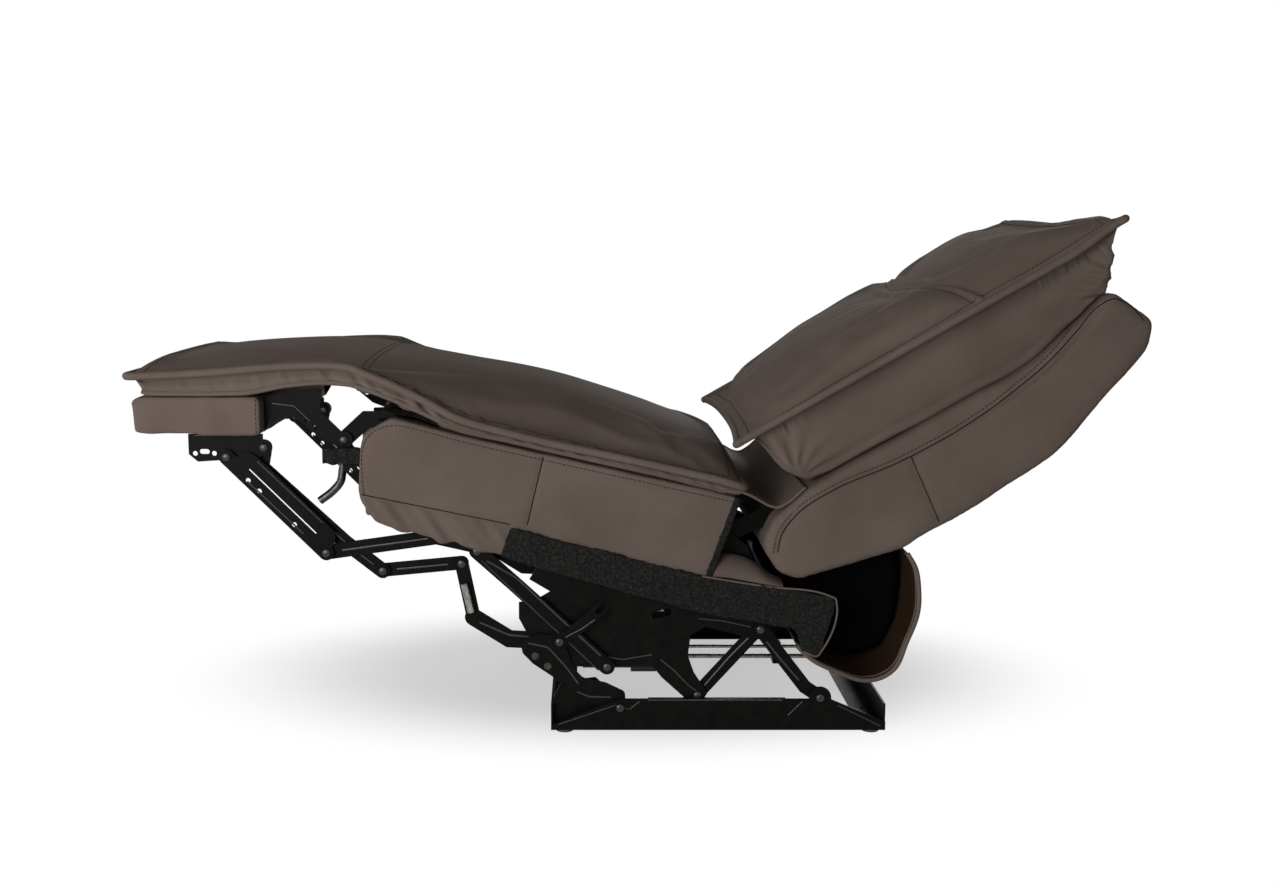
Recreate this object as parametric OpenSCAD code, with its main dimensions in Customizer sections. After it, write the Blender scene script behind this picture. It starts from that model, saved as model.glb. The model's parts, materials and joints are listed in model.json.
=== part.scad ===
// Armless power recliner, fully reclined with the footrest out.
// X runs from the footrest to the back, Y across the seat, Z up from the floor.
// Side views are drawn as [x, z] outlines and pushed out along Y.

/* [Overall] */
// Half of the overall length, from the middle to the footrest's tip
half_length = 784; // [770:1:800]
// Half of the cushions' width
half_width = 300; // [290:1:306]
// Distance from the middle plane to the outer face of each base rail
base_half_width = 268; // [266:1:272]

/* [Steel] */
// Thickness of the pressed steel plates
plate = 3; // [2:0.5:3.5]
// Distance from one layer of links to the next
layer_pitch = 6; // [5.5:0.5:7]
// Radius of the pivot rivets' shanks
rivet_r = 4; // [3:0.5:5]
// Radius of the rivet heads
rivet_head_r = 7; // [6:0.5:8]
// Height of the rivet heads
rivet_head = 2; // [1:0.5:2]
// Width of the footrest's links
link_w = 24; // [20:1:26]
// Width of the seat's support links
support_w = 22; // [18:1:26]

/* [Base] */
// Length of the base on the floor
base_length = 538; // [520:1:560]
// Height of the base rail's top edge
rail_top = 56; // [50:1:60]
// Height of the glides under the base
foot_h = 4; // [3:1:6]
// Radius of the glides
foot_r = 14; // [10:1:18]
// Width of each leg of the cross bars
bar_leg = 40; // [30:1:42]
// Radius of the floor bolt holes in the cross bars
bolt_r = 4.25; // [3:0.25:5]
// Distance between the floor bolts across the seat
bolt_spacing_y = 360; // [300:5:400]

/* [Seat support] */
// Length of the support links between their pivots
support_length = 147.4; // [140:0.1:152]
// Lean of the support links in front of upright
support_lean = 41.1; // [38:0.1:44]
// Distance between the front and the rear support links
support_base = 321; // [310:1:330]
// Height of the rear support links' lower pivots over the front ones
support_drop = 17; // [12:1:20]

/* [Footrest] */
// Length of the pair of links that hang the footrest from the seat
lower_link_length = 185.8; // [180:0.1:190]
// Length of the pair of links behind them
rear_link_length = 126.6; // [122:0.1:130]
// Thickness of the padded footrest board
board_h = 61; // [50:1:62]
// Length of the padded footrest board
board_length = 200; // [180:1:205]
// Half of the footrest board's width
board_half_width = 285; // [260:1:295]

/* [Seat box] */
// Thickness of the upholstered side boards
side_t = 31; // [24:1:31.5]
// Thickness of the front and rear boards
panel_t = 20; // [15:1:24]
// Thickness of the felt covered skirt boards
skirt_t = 6; // [4:1:8]
// Thickness of the steel of the seat springs
spring_t = 4; // [3:0.5:5]
// Number of seat springs
spring_count = 5; // [4:1:6]

/* [Back] */
// Lean of the back cushion's face above level
back_lean = 29.9; // [28:0.1:31]
// Length of the back cushion's face
back_length = 668; // [650:1:680]
// Thickness of the rear leather flap
flap_t = 2.5; // [2:0.5:4]

/* [Drive] */
// Radius of the drive motor
motor_r = 20; // [16:1:22]
// Length of the drive motor
motor_length = 86; // [70:1:90]
// Radius of the drive screw
screw_r = 4; // [3:0.5:5]
// Radius of the guide rod above the screw
guide_r = 3; // [2:0.5:4]
// Height of the guide rod over the screw
rod_gap = 18; // [16:1:22]
// Radius of the seat's cross tubes
tube_r = 9.5; // [8:0.5:11]

/* [Hidden] */
$fn = 48;

steel = "#2a2a2b";
black = "#1b1b1c";
chrome = "#b9b9b6";
leather = "#6d625c";
felt = "#3a3b3a";
stop_w = 12;
stop_t = 5;
fit = 0.05;
gap = 0.3;

// Outer faces of the layers of plates, counted inwards from the base rail
rail_y = base_half_width;
board_y = rail_y + side_t;
layer_a = rail_y - layer_pitch;
layer_b = layer_a - layer_pitch;
layer_c = layer_b - layer_pitch;
layer_d = layer_c - layer_pitch;

// Pivots of the support links, which are a parallelogram
support_reach = support_length * [-sin(support_lean), cos(support_lean)];
base_pivot_rear = [296, 58];
base_pivot_front = base_pivot_rear - [support_base, support_drop];
seat_pivot_rear = base_pivot_rear + support_reach;
seat_pivot_front = base_pivot_front + support_reach;

// Pivots of the footrest's links, which are two parallelograms about the knee
knee = [-460, 474];
lower_turn = 188.04;
rear_turn = 185.44;
lower_reach = lower_link_length * [cos(lower_turn), sin(lower_turn)];
rear_reach = rear_link_length * [cos(rear_turn), sin(rear_turn)];
board_pivot_front = knee + lower_reach;
board_pivot_rear = knee + rear_reach;
seat_pivot_lower = [-307, 320];
seat_pivot_link = [-278, 274];
lower_end = seat_pivot_lower + lower_reach;
rear_end = seat_pivot_link + rear_reach;

back_pivot = [120, 312];

// Ends of the base, and its rails' bottom flange and top lip
base_rear_x = base_pivot_rear.x + 106;
base_front_x = base_rear_x - base_length;
rail_flange = 22;
rail_lip = 5;

// Seat rail, a strip along a line that falls towards the back
rail_front = [-325, 325];
rail_rear = [270, 190];
rail_half = 18;
function rail_z(x) = rail_front.y + (x - rail_front.x)
    * (rail_rear.y - rail_front.y) / (rail_rear.x - rail_front.x);
channel_front = [-252, rail_z(-252) - 10];
channel_bend = [-194, 246];
channel_rear = [-46, 109];
arm_corner = [-260, 186];
arm_joint = [-142, 147];
lever_y = rail_y + layer_pitch;
brace_foot = [100, 58];
rail_bolts = [[-100, rail_z(-100)], [0, rail_z(0)], [80, rail_z(80)]];
spacers = [[-200, rail_z(-200) + 9], [-40, rail_z(-40) + 4], [50, rail_z(50) + 2]];
spacer_r = 8;

// Cross tubes and drive, which starts behind the base's front bar
front_room = 50;
gearbox_x = [base_front_x + front_room + motor_length, base_front_x + front_room + motor_length + 45];
front_tube = [gearbox_x[0] + 6, 118];
rear_tube = [235, rail_z(235)];
screw_z = 45;
motor_z = 44;
screw_end = 330;
nut_x = [gearbox_x[1] + 17, gearbox_x[1] + 52];
bearing_x = [254, 268];

// Seat box outline
seat_front_x = -433;
box_front_top = [-379, 515];
box_knee = [-272, 487];
box_rear_top = [161, 390];
box_rear_low = [98, 217];
box_front_low = [-406, 348];
box_low = [-213, 298];

// Cushion stations: x, height of the underside over what it lies on, flange seam, crown
board_top = 545;
leg_stations = [
    [leg_x(0), 27, 580, 586], [leg_x(0.028), 8, 580.5, 594], [leg_x(0.083), 0, 581, 600],
    [leg_x(0.324), 0, 586, 608], [leg_x(0.537), 0, 591, 612], [leg_x(0.615), 3, 592, 613],
    [leg_x(0.754), 12, 594, 613], [leg_x(0.877), 17, 595.5, 611], [leg_x(1), 17, 595, 606]
];
seat_stations = [
    [knee.x + gap, 17, 595, 606], [-423, 28, 592, 600], [-379, 26, 571, 593], [-330, 15, 545, 584],
    [box_knee.x, 0, 510, 573], [-200, 0, 489, 562], [-130, 0, 472, 551], [-56, 0, 455, 536],
    [20, 0, 438, 513], [60, 0, 429, 487], [90, 0, 422, 464], [125, 0, 414, 439],
    [155, 1, 406, 417], [166, 8, 404, 407]
];
// Place along the leg part of the chaise, from 0 at its tip to 1 at the knee
function leg_x(share) = -half_length + share * (half_length + knee.x - gap);
function seat_top(x) = lookup(x, [[knee.x, board_top], [-423, 530], box_front_top, box_knee, box_rear_top]);

// Back cushion stations along its face: distance, height of the underside over the shell, crown
back_stations = [
    [0, 85, 2], [12, 62, 14], [34, 27, 26], [60, 0, 34], [120, 0, 43], [200, 0, 47],
    [280, 0, 45], [335, 0, 38], [368, 0, 27], [400, 0, 40], [450, 0, 52], [520, 0, 57],
    [580, 0, 51], [625, 24, 36], [648, 60, 19], [back_length, 78, 3]
];
back_foot = [154, 475];
back_along = [cos(back_lean), sin(back_lean)];
back_out = [-sin(back_lean), cos(back_lean)];

// Side outline of the back shell, and the radius of each corner
shell_front = [268, 401];
shell_top = [722, 706.5];
shell_outline = [[196, 311], [214, 354], shell_front, shell_top, [half_length, 662], [half_length, 650],
    [779, 621], [637, 460], [416, 311], [254, 260], [222, 272]];
shell_radii = [18, 20, 14, 14, 6, 6, 14, 60, 30, 18, 14];
// Depth of the shell's front under the back cushion's face, at a distance along that face
function shell_depth(s) =
    let (u = unit(shell_top - shell_front), first = (shell_front - back_foot) * back_along)
    (back_foot - shell_front) * back_out - (s - first) * (u * back_out) / (u * back_along);

// Run of the rear flap, from the skirt's lower end round to the back shell
flap_run = [[253, 152], [282, 126], [318, 109], [364, 102], [406, 118], [431, 165], [440, 233], [435, 281],
    [422, 301]];

// Rear edge of the footrest board, and the front face of the seat's rear board
board_rear = -half_length + board_length;
rear_board_slope = unit(box_rear_top - box_rear_low);
rear_board_across = panel_t * 0.6 * [rear_board_slope.y, -rear_board_slope.x];
rear_board_low = [85, 266];
rear_board_top = rear_board_low + 118 * rear_board_slope;

function unit(v) = v / norm(v);
function turn(v, a) = [v.x * cos(a) - v.y * sin(a), v.x * sin(a) + v.y * cos(a)];
function half_turn(a) = a > 180 ? a - 360 : a < -180 ? a + 360 : a;

// Closed outline with each corner replaced by an arc
function fillet(points, radii, steps = 5) = [
    for (i = [0:len(points) - 1])
        let (
            p = points[i],
            before = unit(points[(i + len(points) - 1) % len(points)] - p),
            after = unit(points[(i + 1) % len(points)] - p),
            r = radii[i],
            half = acos(before * after) / 2,
            centre = p + unit(before + after) * r / sin(half),
            from = p + before * r / tan(half) - centre,
            to = p + after * r / tan(half) - centre,
            first = atan2(from.y, from.x),
            sweep = half_turn(atan2(to.y, to.x) - first)
        )
        each [for (k = [0:steps]) centre + r * [cos(first + sweep * k / steps), sin(first + sweep * k / steps)]]
];

// Points of a smooth curve through the given ones
function smooth(p, steps) = [
    for (i = [0:len(p) - 2], k = [0:steps - 1])
        let (
            a = p[max(i - 1, 0)], b = p[i], c = p[i + 1], d = p[min(i + 2, len(p) - 1)], t = k / steps
        )
        0.5 * (2 * b + (c - a) * t + (2 * a - 5 * b + 4 * c - d) * t * t + (3 * b - a - 3 * c + d) * t * t * t),
    p[len(p) - 1]
];

// The curve's points moved sideways
function beside(p, distance) = [
    for (i = [0:len(p) - 1])
        let (along = unit(p[min(i + 1, len(p) - 1)] - p[max(i - 1, 0)]))
        p[i] + distance * [-along.y, along.x]
];

// Pushes an [x, z] outline out along Y, with its outer face at the distance outer from the middle
module side_plate_at(outer, t = plate) {
    translate([0, t - outer, 0]) rotate([90, 0, 0]) linear_extrude(t) children();
}

module on_side(side) {
    if (side == "left") children();
    else mirror([0, 1, 0]) children();
}

module both_sides() {
    on_side("left") children();
    on_side("right") children();
}

// Polygon of an outline that is listed clockwise
module outline(points) {
    polygon([for (i = [len(points) - 1:-1:0]) points[i]]);
}

// Flat bar through a run of points, with round ends
module bar(points, width, steps = 10) {
    last = len(points) - 1;
    ways = [for (i = [0:last - 1]) unit(points[i + 1] - points[i])];
    normals = [for (w = ways) [-w.y, w.x]];
    sides = [for (i = [0:last]) let (a = normals[max(i - 1, 0)], b = normals[min(i, last - 1)])
        (a + b) / (1 + a * b) * width / 2];
    outline(concat(
        [for (i = [0:last]) points[i] + sides[i]],
        [for (k = [1:steps - 1]) points[last] + turn(sides[last], -180 * k / steps)],
        [for (i = [last:-1:0]) points[i] - sides[i]],
        [for (k = [1:steps - 1]) points[0] + turn(-sides[0], -180 * k / steps)]
    ));
}

module holes(points, r = rivet_r + fit) {
    for (p = points) translate(p) circle(r);
}

module pin(at, outer, inner, r) {
    translate([at.x, -outer, at.y]) rotate([-90, 0, 0]) cylinder(h = outer - inner, r = r);
}

// Rivet through the plates whose outer faces are at outer and inner, with a shoulder between them
module rivet(at, outer, inner) {
    slack = 0.2;
    pin(at, outer + slack, inner - plate - slack, rivet_r);
    pin(at, outer + slack + rivet_head, outer + slack, rivet_head_r);
    pin(at, inner - plate - slack, inner - plate - slack - rivet_head, rivet_head_r);
    for (face = [outer:-layer_pitch:inner + 1])
        pin(at, face - plate - slack, face - layer_pitch + slack, rivet_head_r);
}

// Closed shell through rings that all have as many points
module loft(rings) {
    n = len(rings[0]);
    m = len(rings);
    polyhedron(
        points = [for (r = rings) each r, centre_of(rings[0]), centre_of(rings[m - 1])],
        faces = [
            for (i = [0:m - 2], k = [0:n - 1])
                each [[i * n + k, i * n + (k + 1) % n, (i + 1) * n + k],
                    [i * n + (k + 1) % n, (i + 1) * n + (k + 1) % n, (i + 1) * n + k]],
            for (k = [0:n - 1]) [m * n, (k + 1) % n, k],
            for (k = [0:n - 1]) [m * n + 1, (m - 1) * n + k, (m - 1) * n + (k + 1) % n]
        ]
    );
}
function centre_of(ring) = [for (axis = [0:2]) let (v = [for (p = ring) p[axis]]) (min(v) + max(v)) / 2];

// Ring of a cushion as [across, depth]: crown over the flange seam, sides drawn in under it
function cushion_ring(under, seam, crown, steps = 12, draw = 10) = concat(
    [for (i = [0:steps]) let (t = 1 - 2 * i / steps)
        [half_width * t, seam + (crown - seam) * (1 - pow(abs(t), 2.6))]],
    [[-half_width + draw, seam + (under - seam) * 0.18], [-half_width + draw * 0.6, seam + (under - seam) * 0.6],
        [-half_width + draw * 1.2, under]],
    [for (i = [-2:2]) [half_width * i / 4, under]],
    [[half_width - draw * 1.2, under], [half_width - draw * 0.6, seam + (under - seam) * 0.6],
        [half_width - draw, seam + (under - seam) * 0.18]]
);

module level_cushion(stations) {
    loft([for (s = stations) [for (q = cushion_ring(gap + seat_top(s[0]) + s[1], s[2], s[3])) [s[0], q.x, q.y]]]);
}

module base_rail(side) {
    color(steel) on_side(side) {
        side_plate_at(rail_y) difference() {
            union() {
                outline([[base_front_x, foot_h], [base_front_x, 12], [base_pivot_front.x, rail_top],
                    [base_rear_x - 90, rail_top], [base_rear_x, 18], [base_rear_x, foot_h]]);
                translate(base_pivot_rear) circle(18);
                translate(base_pivot_front) circle(14);
            }
            holes([base_pivot_rear, base_pivot_front]);
        }
        translate([base_front_x, -rail_y + plate, foot_h]) cube([base_length, rail_flange, plate]);
        side_plate_at(layer_c) outline([
            [base_front_x + plate + gap, foot_h + 2 * plate + gap], [base_front_x + plate + gap, 52],
            [base_front_x + 18, 80], [base_front_x + 72, 86], [base_pivot_front.x - 8, rail_top],
            [base_pivot_front.x - 8, foot_h + 1], [base_front_x + bar_leg + 1, foot_h + 1],
            [base_front_x + bar_leg + 1, foot_h + 2 * plate + gap]
        ]);
        translate([base_pivot_front.x + 45, -rail_y + plate, rail_top - plate])
            cube([base_pivot_rear.x - base_pivot_front.x - 100, rail_lip, plate]);
    }
}

module base_bar(x, toward) {
    y = rail_y - plate;
    z = foot_h + plate;
    color(steel) difference() {
        union() {
            translate([toward > 0 ? x : x - plate, -y, z]) cube([plate, 2 * y, bar_leg]);
            translate([toward > 0 ? x : x - bar_leg, -y, z]) cube([bar_leg, 2 * y, plate]);
        }
        for (s = [-1, 1])
            translate([x + toward * bar_leg / 2, s * bolt_spacing_y / 2, z - 1])
                cylinder(h = plate + 2, r = bolt_r);
    }
}
module base_feet() {
    color(black) for (x = [base_front_x + 22, base_rear_x - 22], s = [-1, 1])
        translate([x, s * (rail_y - foot_r), 0]) cylinder(h = foot_h, r = foot_r);
}

module base_rivets() {
    color(chrome) both_sides()
        for (p = [base_pivot_front, base_pivot_rear]) rivet(p, rail_y, layer_a);
}

module rear_support_link(side) {
    color(steel) on_side(side) side_plate_at(layer_a) difference() {
        union() {
            bar([base_pivot_rear, base_pivot_rear + [-24, 16], seat_pivot_rear], support_w);
            translate(base_pivot_rear) circle(15);
        }
        holes([base_pivot_rear, seat_pivot_rear]);
    }
}

// Outline of the front support link and its two bolts, from its lower pivot
front_link_edge = [[8, 25], [-23, 40], [-60, 48], [-77, 67], [-84, 92], [-96, 115], [-128, 122], [-160, 108],
    [-156, 89], [-140, 72], [-108, 50], [-73, 21], [-48, 8], [-13, -12], [10, -5]];
front_link_radii = [8, 10, 16, 14, 14, 10, 12, 12, 8, 12, 14, 14, 14, 8, 8];
front_link_bolt_points = [base_pivot_front + [-136, 85], base_pivot_front + [-116, 68]];

module front_support_link(side) {
    color(steel) on_side(side) side_plate_at(layer_a) difference() {
        union() {
            translate(base_pivot_front) outline(fillet(front_link_edge, front_link_radii, 3));
            translate(seat_pivot_front) circle(16);
            translate(base_pivot_front) circle(14);
        }
        holes([base_pivot_front, seat_pivot_front]);
        holes(front_link_bolt_points, 3 + fit);
    }
}

module front_link_bolts() {
    color(chrome) both_sides() for (p = front_link_bolt_points) {
        pin(p, layer_a + 2, layer_a - plate - 2, 3);
        pin(p, layer_a + 2, layer_a, 6);
        pin(p, layer_a - plate, layer_a - plate - 2, 6);
    }
}

module side_plate(side) {
    edge = [[-145, rail_z(-145) + 6], [95, rail_z(95) + 6], [214, 206], [218, 160], [186, 152], [112, 172],
        [88, 158], [84, 124], [94, 96], [116, 62], [106, 44], [88, 46], [42, 88], [28, 106], [-98, 106],
        [-112, 128], [-160, 134], [-187, 186], [-187, 212], [-160, 216], [-137, 230], [-170, 250]];
    color(steel) on_side(side) side_plate_at(layer_b) difference() {
        union() {
            outline(edge);
            translate(seat_pivot_front) circle(16);
            translate(seat_pivot_rear) circle(16);
        }
        holes(concat([seat_pivot_front, seat_pivot_rear, arm_joint, brace_foot, channel_rear], rail_bolts));
        holes([spacers[1], spacers[2]], spacer_r + gap);
        bar([[30, 190], [52, 196]], 12);
    }
}

module seat_rail(side) {
    color(steel) on_side(side) {
        side_plate_at(layer_c) difference() {
            union() {
                bar([rail_front, rail_rear], 2 * rail_half);
                outline([[92, 238], [104, 334], [136, 334], [176, 304], [222, 206]]);
                translate(rear_tube) circle(20);
            }
            holes(concat([seat_pivot_lower, back_pivot, channel_front], rail_bolts));
        }
        for (p = spacers) pin(p, rail_y, layer_c - plate, spacer_r);
    }
}

module front_arm(side) {
    color(steel) on_side(side) side_plate_at(layer_c) difference() {
        union() {
            bar([seat_pivot_link, arm_corner], 22);
            bar([arm_corner, [-203, 150], arm_joint], 28);
        }
        holes([seat_pivot_link, arm_joint]);
    }
}

module arm_tubes() {
    low = arm_corner + [-3, 10];
    high = [-273.5, 243];
    run = high - low;
    color(chrome) both_sides()
        translate([low.x, -layer_c - 6, low.y]) rotate([0, atan2(run.x, run.y), 0]) difference() {
            cylinder(h = norm(run), r = 6);
            translate([0, 0, -1]) cylinder(h = norm(run) + 2, r = 4);
        }
}

module rear_braces() {
    color(steel) both_sides() side_plate_at(layer_c) difference() {
        bar([brace_foot, seat_pivot_rear], support_w);
        holes([brace_foot, seat_pivot_rear]);
    }
}

// Slanted channels outside the side plates, and the notched levers on the front pivots
module drive_channels() {
    color(steel) both_sides() {
        side_plate_at(rail_y) difference() {
            bar([channel_front, channel_bend, channel_rear], 25);
            holes([channel_front, channel_rear]);
        }
        side_plate_at(lever_y) difference() {
            bar([seat_pivot_front, [-84, 181], [-56, 206]], 20);
            holes([seat_pivot_front]);
            bar([[-60, 202], [-40, 224]], 9);
        }
    }
}

module knee_hanger(side) {
    color(steel) on_side(side) {
        side_plate_at(layer_c) difference() {
            union() {
                bar([knee, [-425, 506], [-392, 506]], 26);
                bar([knee, [-452, 430]], 22);
            }
            holes([knee]);
            holes([[-449, 424]], 5);
        }
        for (p = [[-402, 500], [-386, 502]]) pin(p, rail_y, layer_c, 7);
    }
}

module knee_stop_arms() {
    color(chrome) both_sides()
        side_plate_at(layer_c - plate - gap, stop_t)
            bar([[-454, 441], [-459, 420], [-470, 398], [-486, 382], [-505, 373]], stop_w);
}

module seat_rivets() {
    color(chrome) both_sides() {
        rivet(seat_pivot_front, lever_y, layer_b);
        rivet(seat_pivot_rear, layer_a, layer_c);
        rivet(seat_pivot_lower, layer_b, layer_c);
        rivet(seat_pivot_link, layer_c, layer_d);
        rivet(back_pivot, layer_c, layer_d);
        rivet(knee, layer_b, layer_c);
        rivet(arm_joint, layer_b, layer_c);
        rivet(brace_foot, layer_b, layer_c);
        rivet(channel_front, rail_y, layer_c);
        rivet(channel_rear, rail_y, layer_b);
        for (p = rail_bolts) rivet(p, layer_b, layer_c);
    }
}

module front_cross_tube() {
    half = layer_b - plate;
    color(steel) translate([front_tube.x, half, front_tube.y]) rotate([90, 0, 0])
        cylinder(h = 2 * half, r = tube_r);
}

module rear_cross_tube() {
    half = layer_c - plate;
    color(steel) {
        translate([rear_tube.x, half, rear_tube.y]) rotate([90, 0, 0]) cylinder(h = 2 * half, r = tube_r);
        difference() {
            union() {
                translate([bearing_x[0], -14, screw_z - 10])
                    cube([bearing_x[1] - bearing_x[0], 28, rod_gap + 20]);
                side_plate_at(4, 8) outline([[bearing_x[0] + 2, screw_z], [rear_tube.x - 6, rear_tube.y],
                    [rear_tube.x + 6, rear_tube.y], [bearing_x[1] - 2, screw_z]]);
            }
            translate([0, 0, screw_z]) rotate([0, 90, 0]) cylinder(h = 400, r = screw_r + fit);
            translate([0, 0, screw_z + rod_gap]) rotate([0, 90, 0]) cylinder(h = 400, r = guide_r + fit);
        }
    }
}

module drive_gearbox() {
    width = 44;
    color(black) difference() {
        union() {
            translate([gearbox_x[0], -width / 2, screw_z - 22])
                cube([gearbox_x[1] - gearbox_x[0], width, 62]);
            translate([front_tube.x - 6, -width / 2, screw_z + 30])
                cube([30, width, front_tube.y - screw_z - 12]);
        }
        translate([front_tube.x, width, front_tube.y]) rotate([90, 0, 0])
            cylinder(h = 2 * width, r = tube_r + fit);
        translate([gearbox_x[0] + 20, 0, screw_z]) rotate([0, 90, 0])
            cylinder(h = 60, r = screw_r + fit);
        translate([gearbox_x[0] + 20, 0, screw_z + rod_gap]) rotate([0, 90, 0])
            cylinder(h = 60, r = guide_r + fit);
    }
}

module drive_motor() {
    color(black) translate([gearbox_x[0] - motor_length, 0, motor_z]) rotate([0, 90, 0]) {
        cylinder(h = motor_length - gap, r = motor_r);
        translate([0, 0, -4]) cylinder(h = 4, r = motor_r * 0.45);
    }
}

module drive_screw() {
    run = screw_end - gearbox_x[0] - 20;
    color(chrome) translate([gearbox_x[0] + 20, 0, screw_z]) rotate([0, 90, 0]) {
        cylinder(h = run, r = screw_r);
        translate([-rod_gap, 0, 0]) cylinder(h = run, r = guide_r);
        translate([-rod_gap - 7, -7, run]) cube([rod_gap + 14, 14, 8]);
    }
}

module drive_nut() {
    length = nut_x[1] - nut_x[0];
    color(black) translate([nut_x[0], 0, screw_z]) difference() {
        translate([0, -16, -9]) cube([length, 32, rod_gap + 18]);
        translate([-1, 0, 0]) rotate([0, 90, 0]) cylinder(h = length + 2, r = screw_r + fit);
        translate([-1, 0, rod_gap]) rotate([0, 90, 0]) cylinder(h = length + 2, r = guide_r + fit);
    }
}

module seat_side(side) {
    edge = [[seat_front_x + 6, 488], box_front_top - [0, gap], box_knee - [0, gap], box_rear_top - [0, gap],
        box_rear_low, box_low, box_front_low, [seat_front_x, 396]];
    color(leather) on_side(side) side_plate_at(board_y, side_t)
        outline(fillet(edge, [34, 18, 60, 10, 6, 10, 26, 20]));
}

module seat_front_board() {
    top = 500;
    color(leather) translate([seat_front_x, 0, 0]) rotate([90, 0, 90]) linear_extrude(panel_t)
        polygon([
            [-layer_c + plate, top], [layer_c - plate, top], [layer_c - plate, 425], [layer_d - plate - 3, 420],
            [layer_d - plate - 3, box_front_low.y], [-layer_d + plate + 3, box_front_low.y],
            [-layer_d + plate + 3, 420], [-layer_c + plate, 425]
        ]);
}

module seat_rear_board() {
    half = layer_d - plate - 3;
    foot = layer_c - plate - gap;
    color(black) {
        side_plate_at(half, 2 * half) outline([rear_board_low, rear_board_top,
            rear_board_top + rear_board_across, rear_board_low + rear_board_across]);
        side_plate_at(foot, 2 * foot) outline([rear_board_low, rear_board_low + 18 * rear_board_slope,
            rear_board_low + 18 * rear_board_slope + rear_board_across, rear_board_low + rear_board_across]);
    }
}

// Sinuous springs from the front board down to the rear board
module seat_springs() {
    start = [seat_front_x + panel_t + gap, 492];
    end = rear_board_top - 16 * rear_board_slope - [spring_t, 0];
    run = end - start;
    waves = 11;
    amplitude = 22;
    step = norm(run) / waves;
    path = [for (i = [0:waves]) [i * step, (i == 0 || i == waves) ? 0 : amplitude * (i % 2 * 2 - 1)]];
    color(steel) for (k = [0:spring_count - 1])
        translate([start.x, (k - (spring_count - 1) / 2) * 88, start.y]) rotate([0, -atan2(run.y, run.x), 0])
            linear_extrude(spring_t) polygon(concat(beside(path, spring_t / 2),
                [for (p = beside([for (i = [waves:-1:0]) path[i]], spring_t / 2)) p]));
}

module seat_cushion() {
    color(leather) level_cushion(seat_stations);
}

module leg_cushion() {
    color(leather) level_cushion(leg_stations);
}

module skirt_board(side) {
    edge = [[-197, 344], [98, 268], [314, 233], [288, 138], [259, 145], [248, 182], [99, 208], [-58, 252],
        [-198, 292], [-213, 298]];
    color(felt) on_side(side) side_plate_at(board_y + gap + skirt_t, skirt_t)
        outline(fillet(edge, [4, 20, 12, 6, 4, 10, 20, 20, 4, 4]));
}

module rear_flap() {
    run = smooth(flap_run, 3);
    back = [for (i = [len(run) - 1:-1:0]) run[i]];
    color(leather) side_plate_at(board_y, 2 * board_y)
        outline(concat(beside(run, flap_t / 2), beside(back, flap_t / 2)));
}

module bracket_blade() {
    bar([back_pivot, [194, 344], [330, 404]], 28);
}

module back_shell() {
    color(leather) difference() {
        side_plate_at(half_width - 2, 2 * (half_width - 2)) outline(fillet(shell_outline, shell_radii));
        both_sides() side_plate_at(layer_d + gap, plate + 2 * gap)
            offset(delta = gap) bracket_blade();
    }
}

module back_cushion() {
    color(leather) loft([
        for (s = back_stations) [
            for (q = cushion_ring(gap + s[1] - shell_depth(s[0]), 0, s[2]))
                let (p = back_foot + back_along * s[0] + back_out * q.y) [p.x, q.x, p.y]
        ]
    ]);
}

module back_bracket(side) {
    color(steel) on_side(side) side_plate_at(layer_d) difference() {
        bracket_blade();
        holes([back_pivot]);
    }
}

module footrest_board() {
    top = board_top;
    low = top - board_h;
    color(leather) side_plate_at(board_half_width, 2 * board_half_width)
        outline(fillet([[-half_length + 0.5, top - 6], [-half_length + 8, top], [board_rear, top],
            [board_rear, low], [-half_length + 4, low + 4]], [3, 2, 6, 6, 6], 3));
}

module footrest_bracket(side) {
    front = min(board_rear - 120, board_pivot_front.x - 60);
    rear = max(board_rear - 3, board_pivot_rear.x - 1);
    top = board_top - board_h - gap;
    color(steel) on_side(side) side_plate_at(layer_b) difference() {
        union() {
            outline([[front, top], [rear, top], [rear, top - 32], [rear - 7, top - 38], [front + 14, top - 44],
                [front, top - 32]]);
            translate(board_pivot_front) circle(13);
            translate(board_pivot_rear) circle(13);
        }
        holes([board_pivot_front, board_pivot_rear]);
        holes([[front + 10, top - 31], [front + 40, top - 31]], 4);
        bar([[front + 21, top - 28], [front + 29, top - 28]], 8);
    }
}

// Point of the knee bracket, at a share of the way from the board's rear edge to the knee
function knee_way(share, z) = [board_rear + gap + share * (knee.x - board_rear - gap), z];

module knee_bracket(side) {
    edge = [knee_way(0, 541), knee_way(0.355, 551), knee_way(0.742, 556), knee_way(0.701, 521),
        knee_way(0.984, 486), knee + [12, 0], knee + [0, -13], knee_way(0.733, 474), knee_way(0.468, 502),
        knee_way(0.37, 510), knee_way(0.12, 512), knee_way(0, 487)];
    color(steel) on_side(side) side_plate_at(layer_b) difference() {
        union() {
            outline(edge);
            translate(knee) circle(14);
        }
        holes([knee]);
        holes([knee_way(0.145, 520), knee_way(0.516, 506), knee_way(0.645, 493)], 4);
    }
}

module footrest_rivets() {
    color(chrome) both_sides() {
        rivet(board_pivot_front, layer_a, layer_b);
        rivet(board_pivot_rear, layer_b, layer_c);
    }
}

module lower_link(side) {
    color(steel) on_side(side) side_plate_at(layer_b) difference() {
        bar([seat_pivot_lower, lower_end], link_w);
        holes([seat_pivot_lower, lower_end]);
    }
}

module lower_link_rivets() {
    color(chrome) both_sides() rivet(lower_end, layer_a, layer_b);
}

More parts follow.
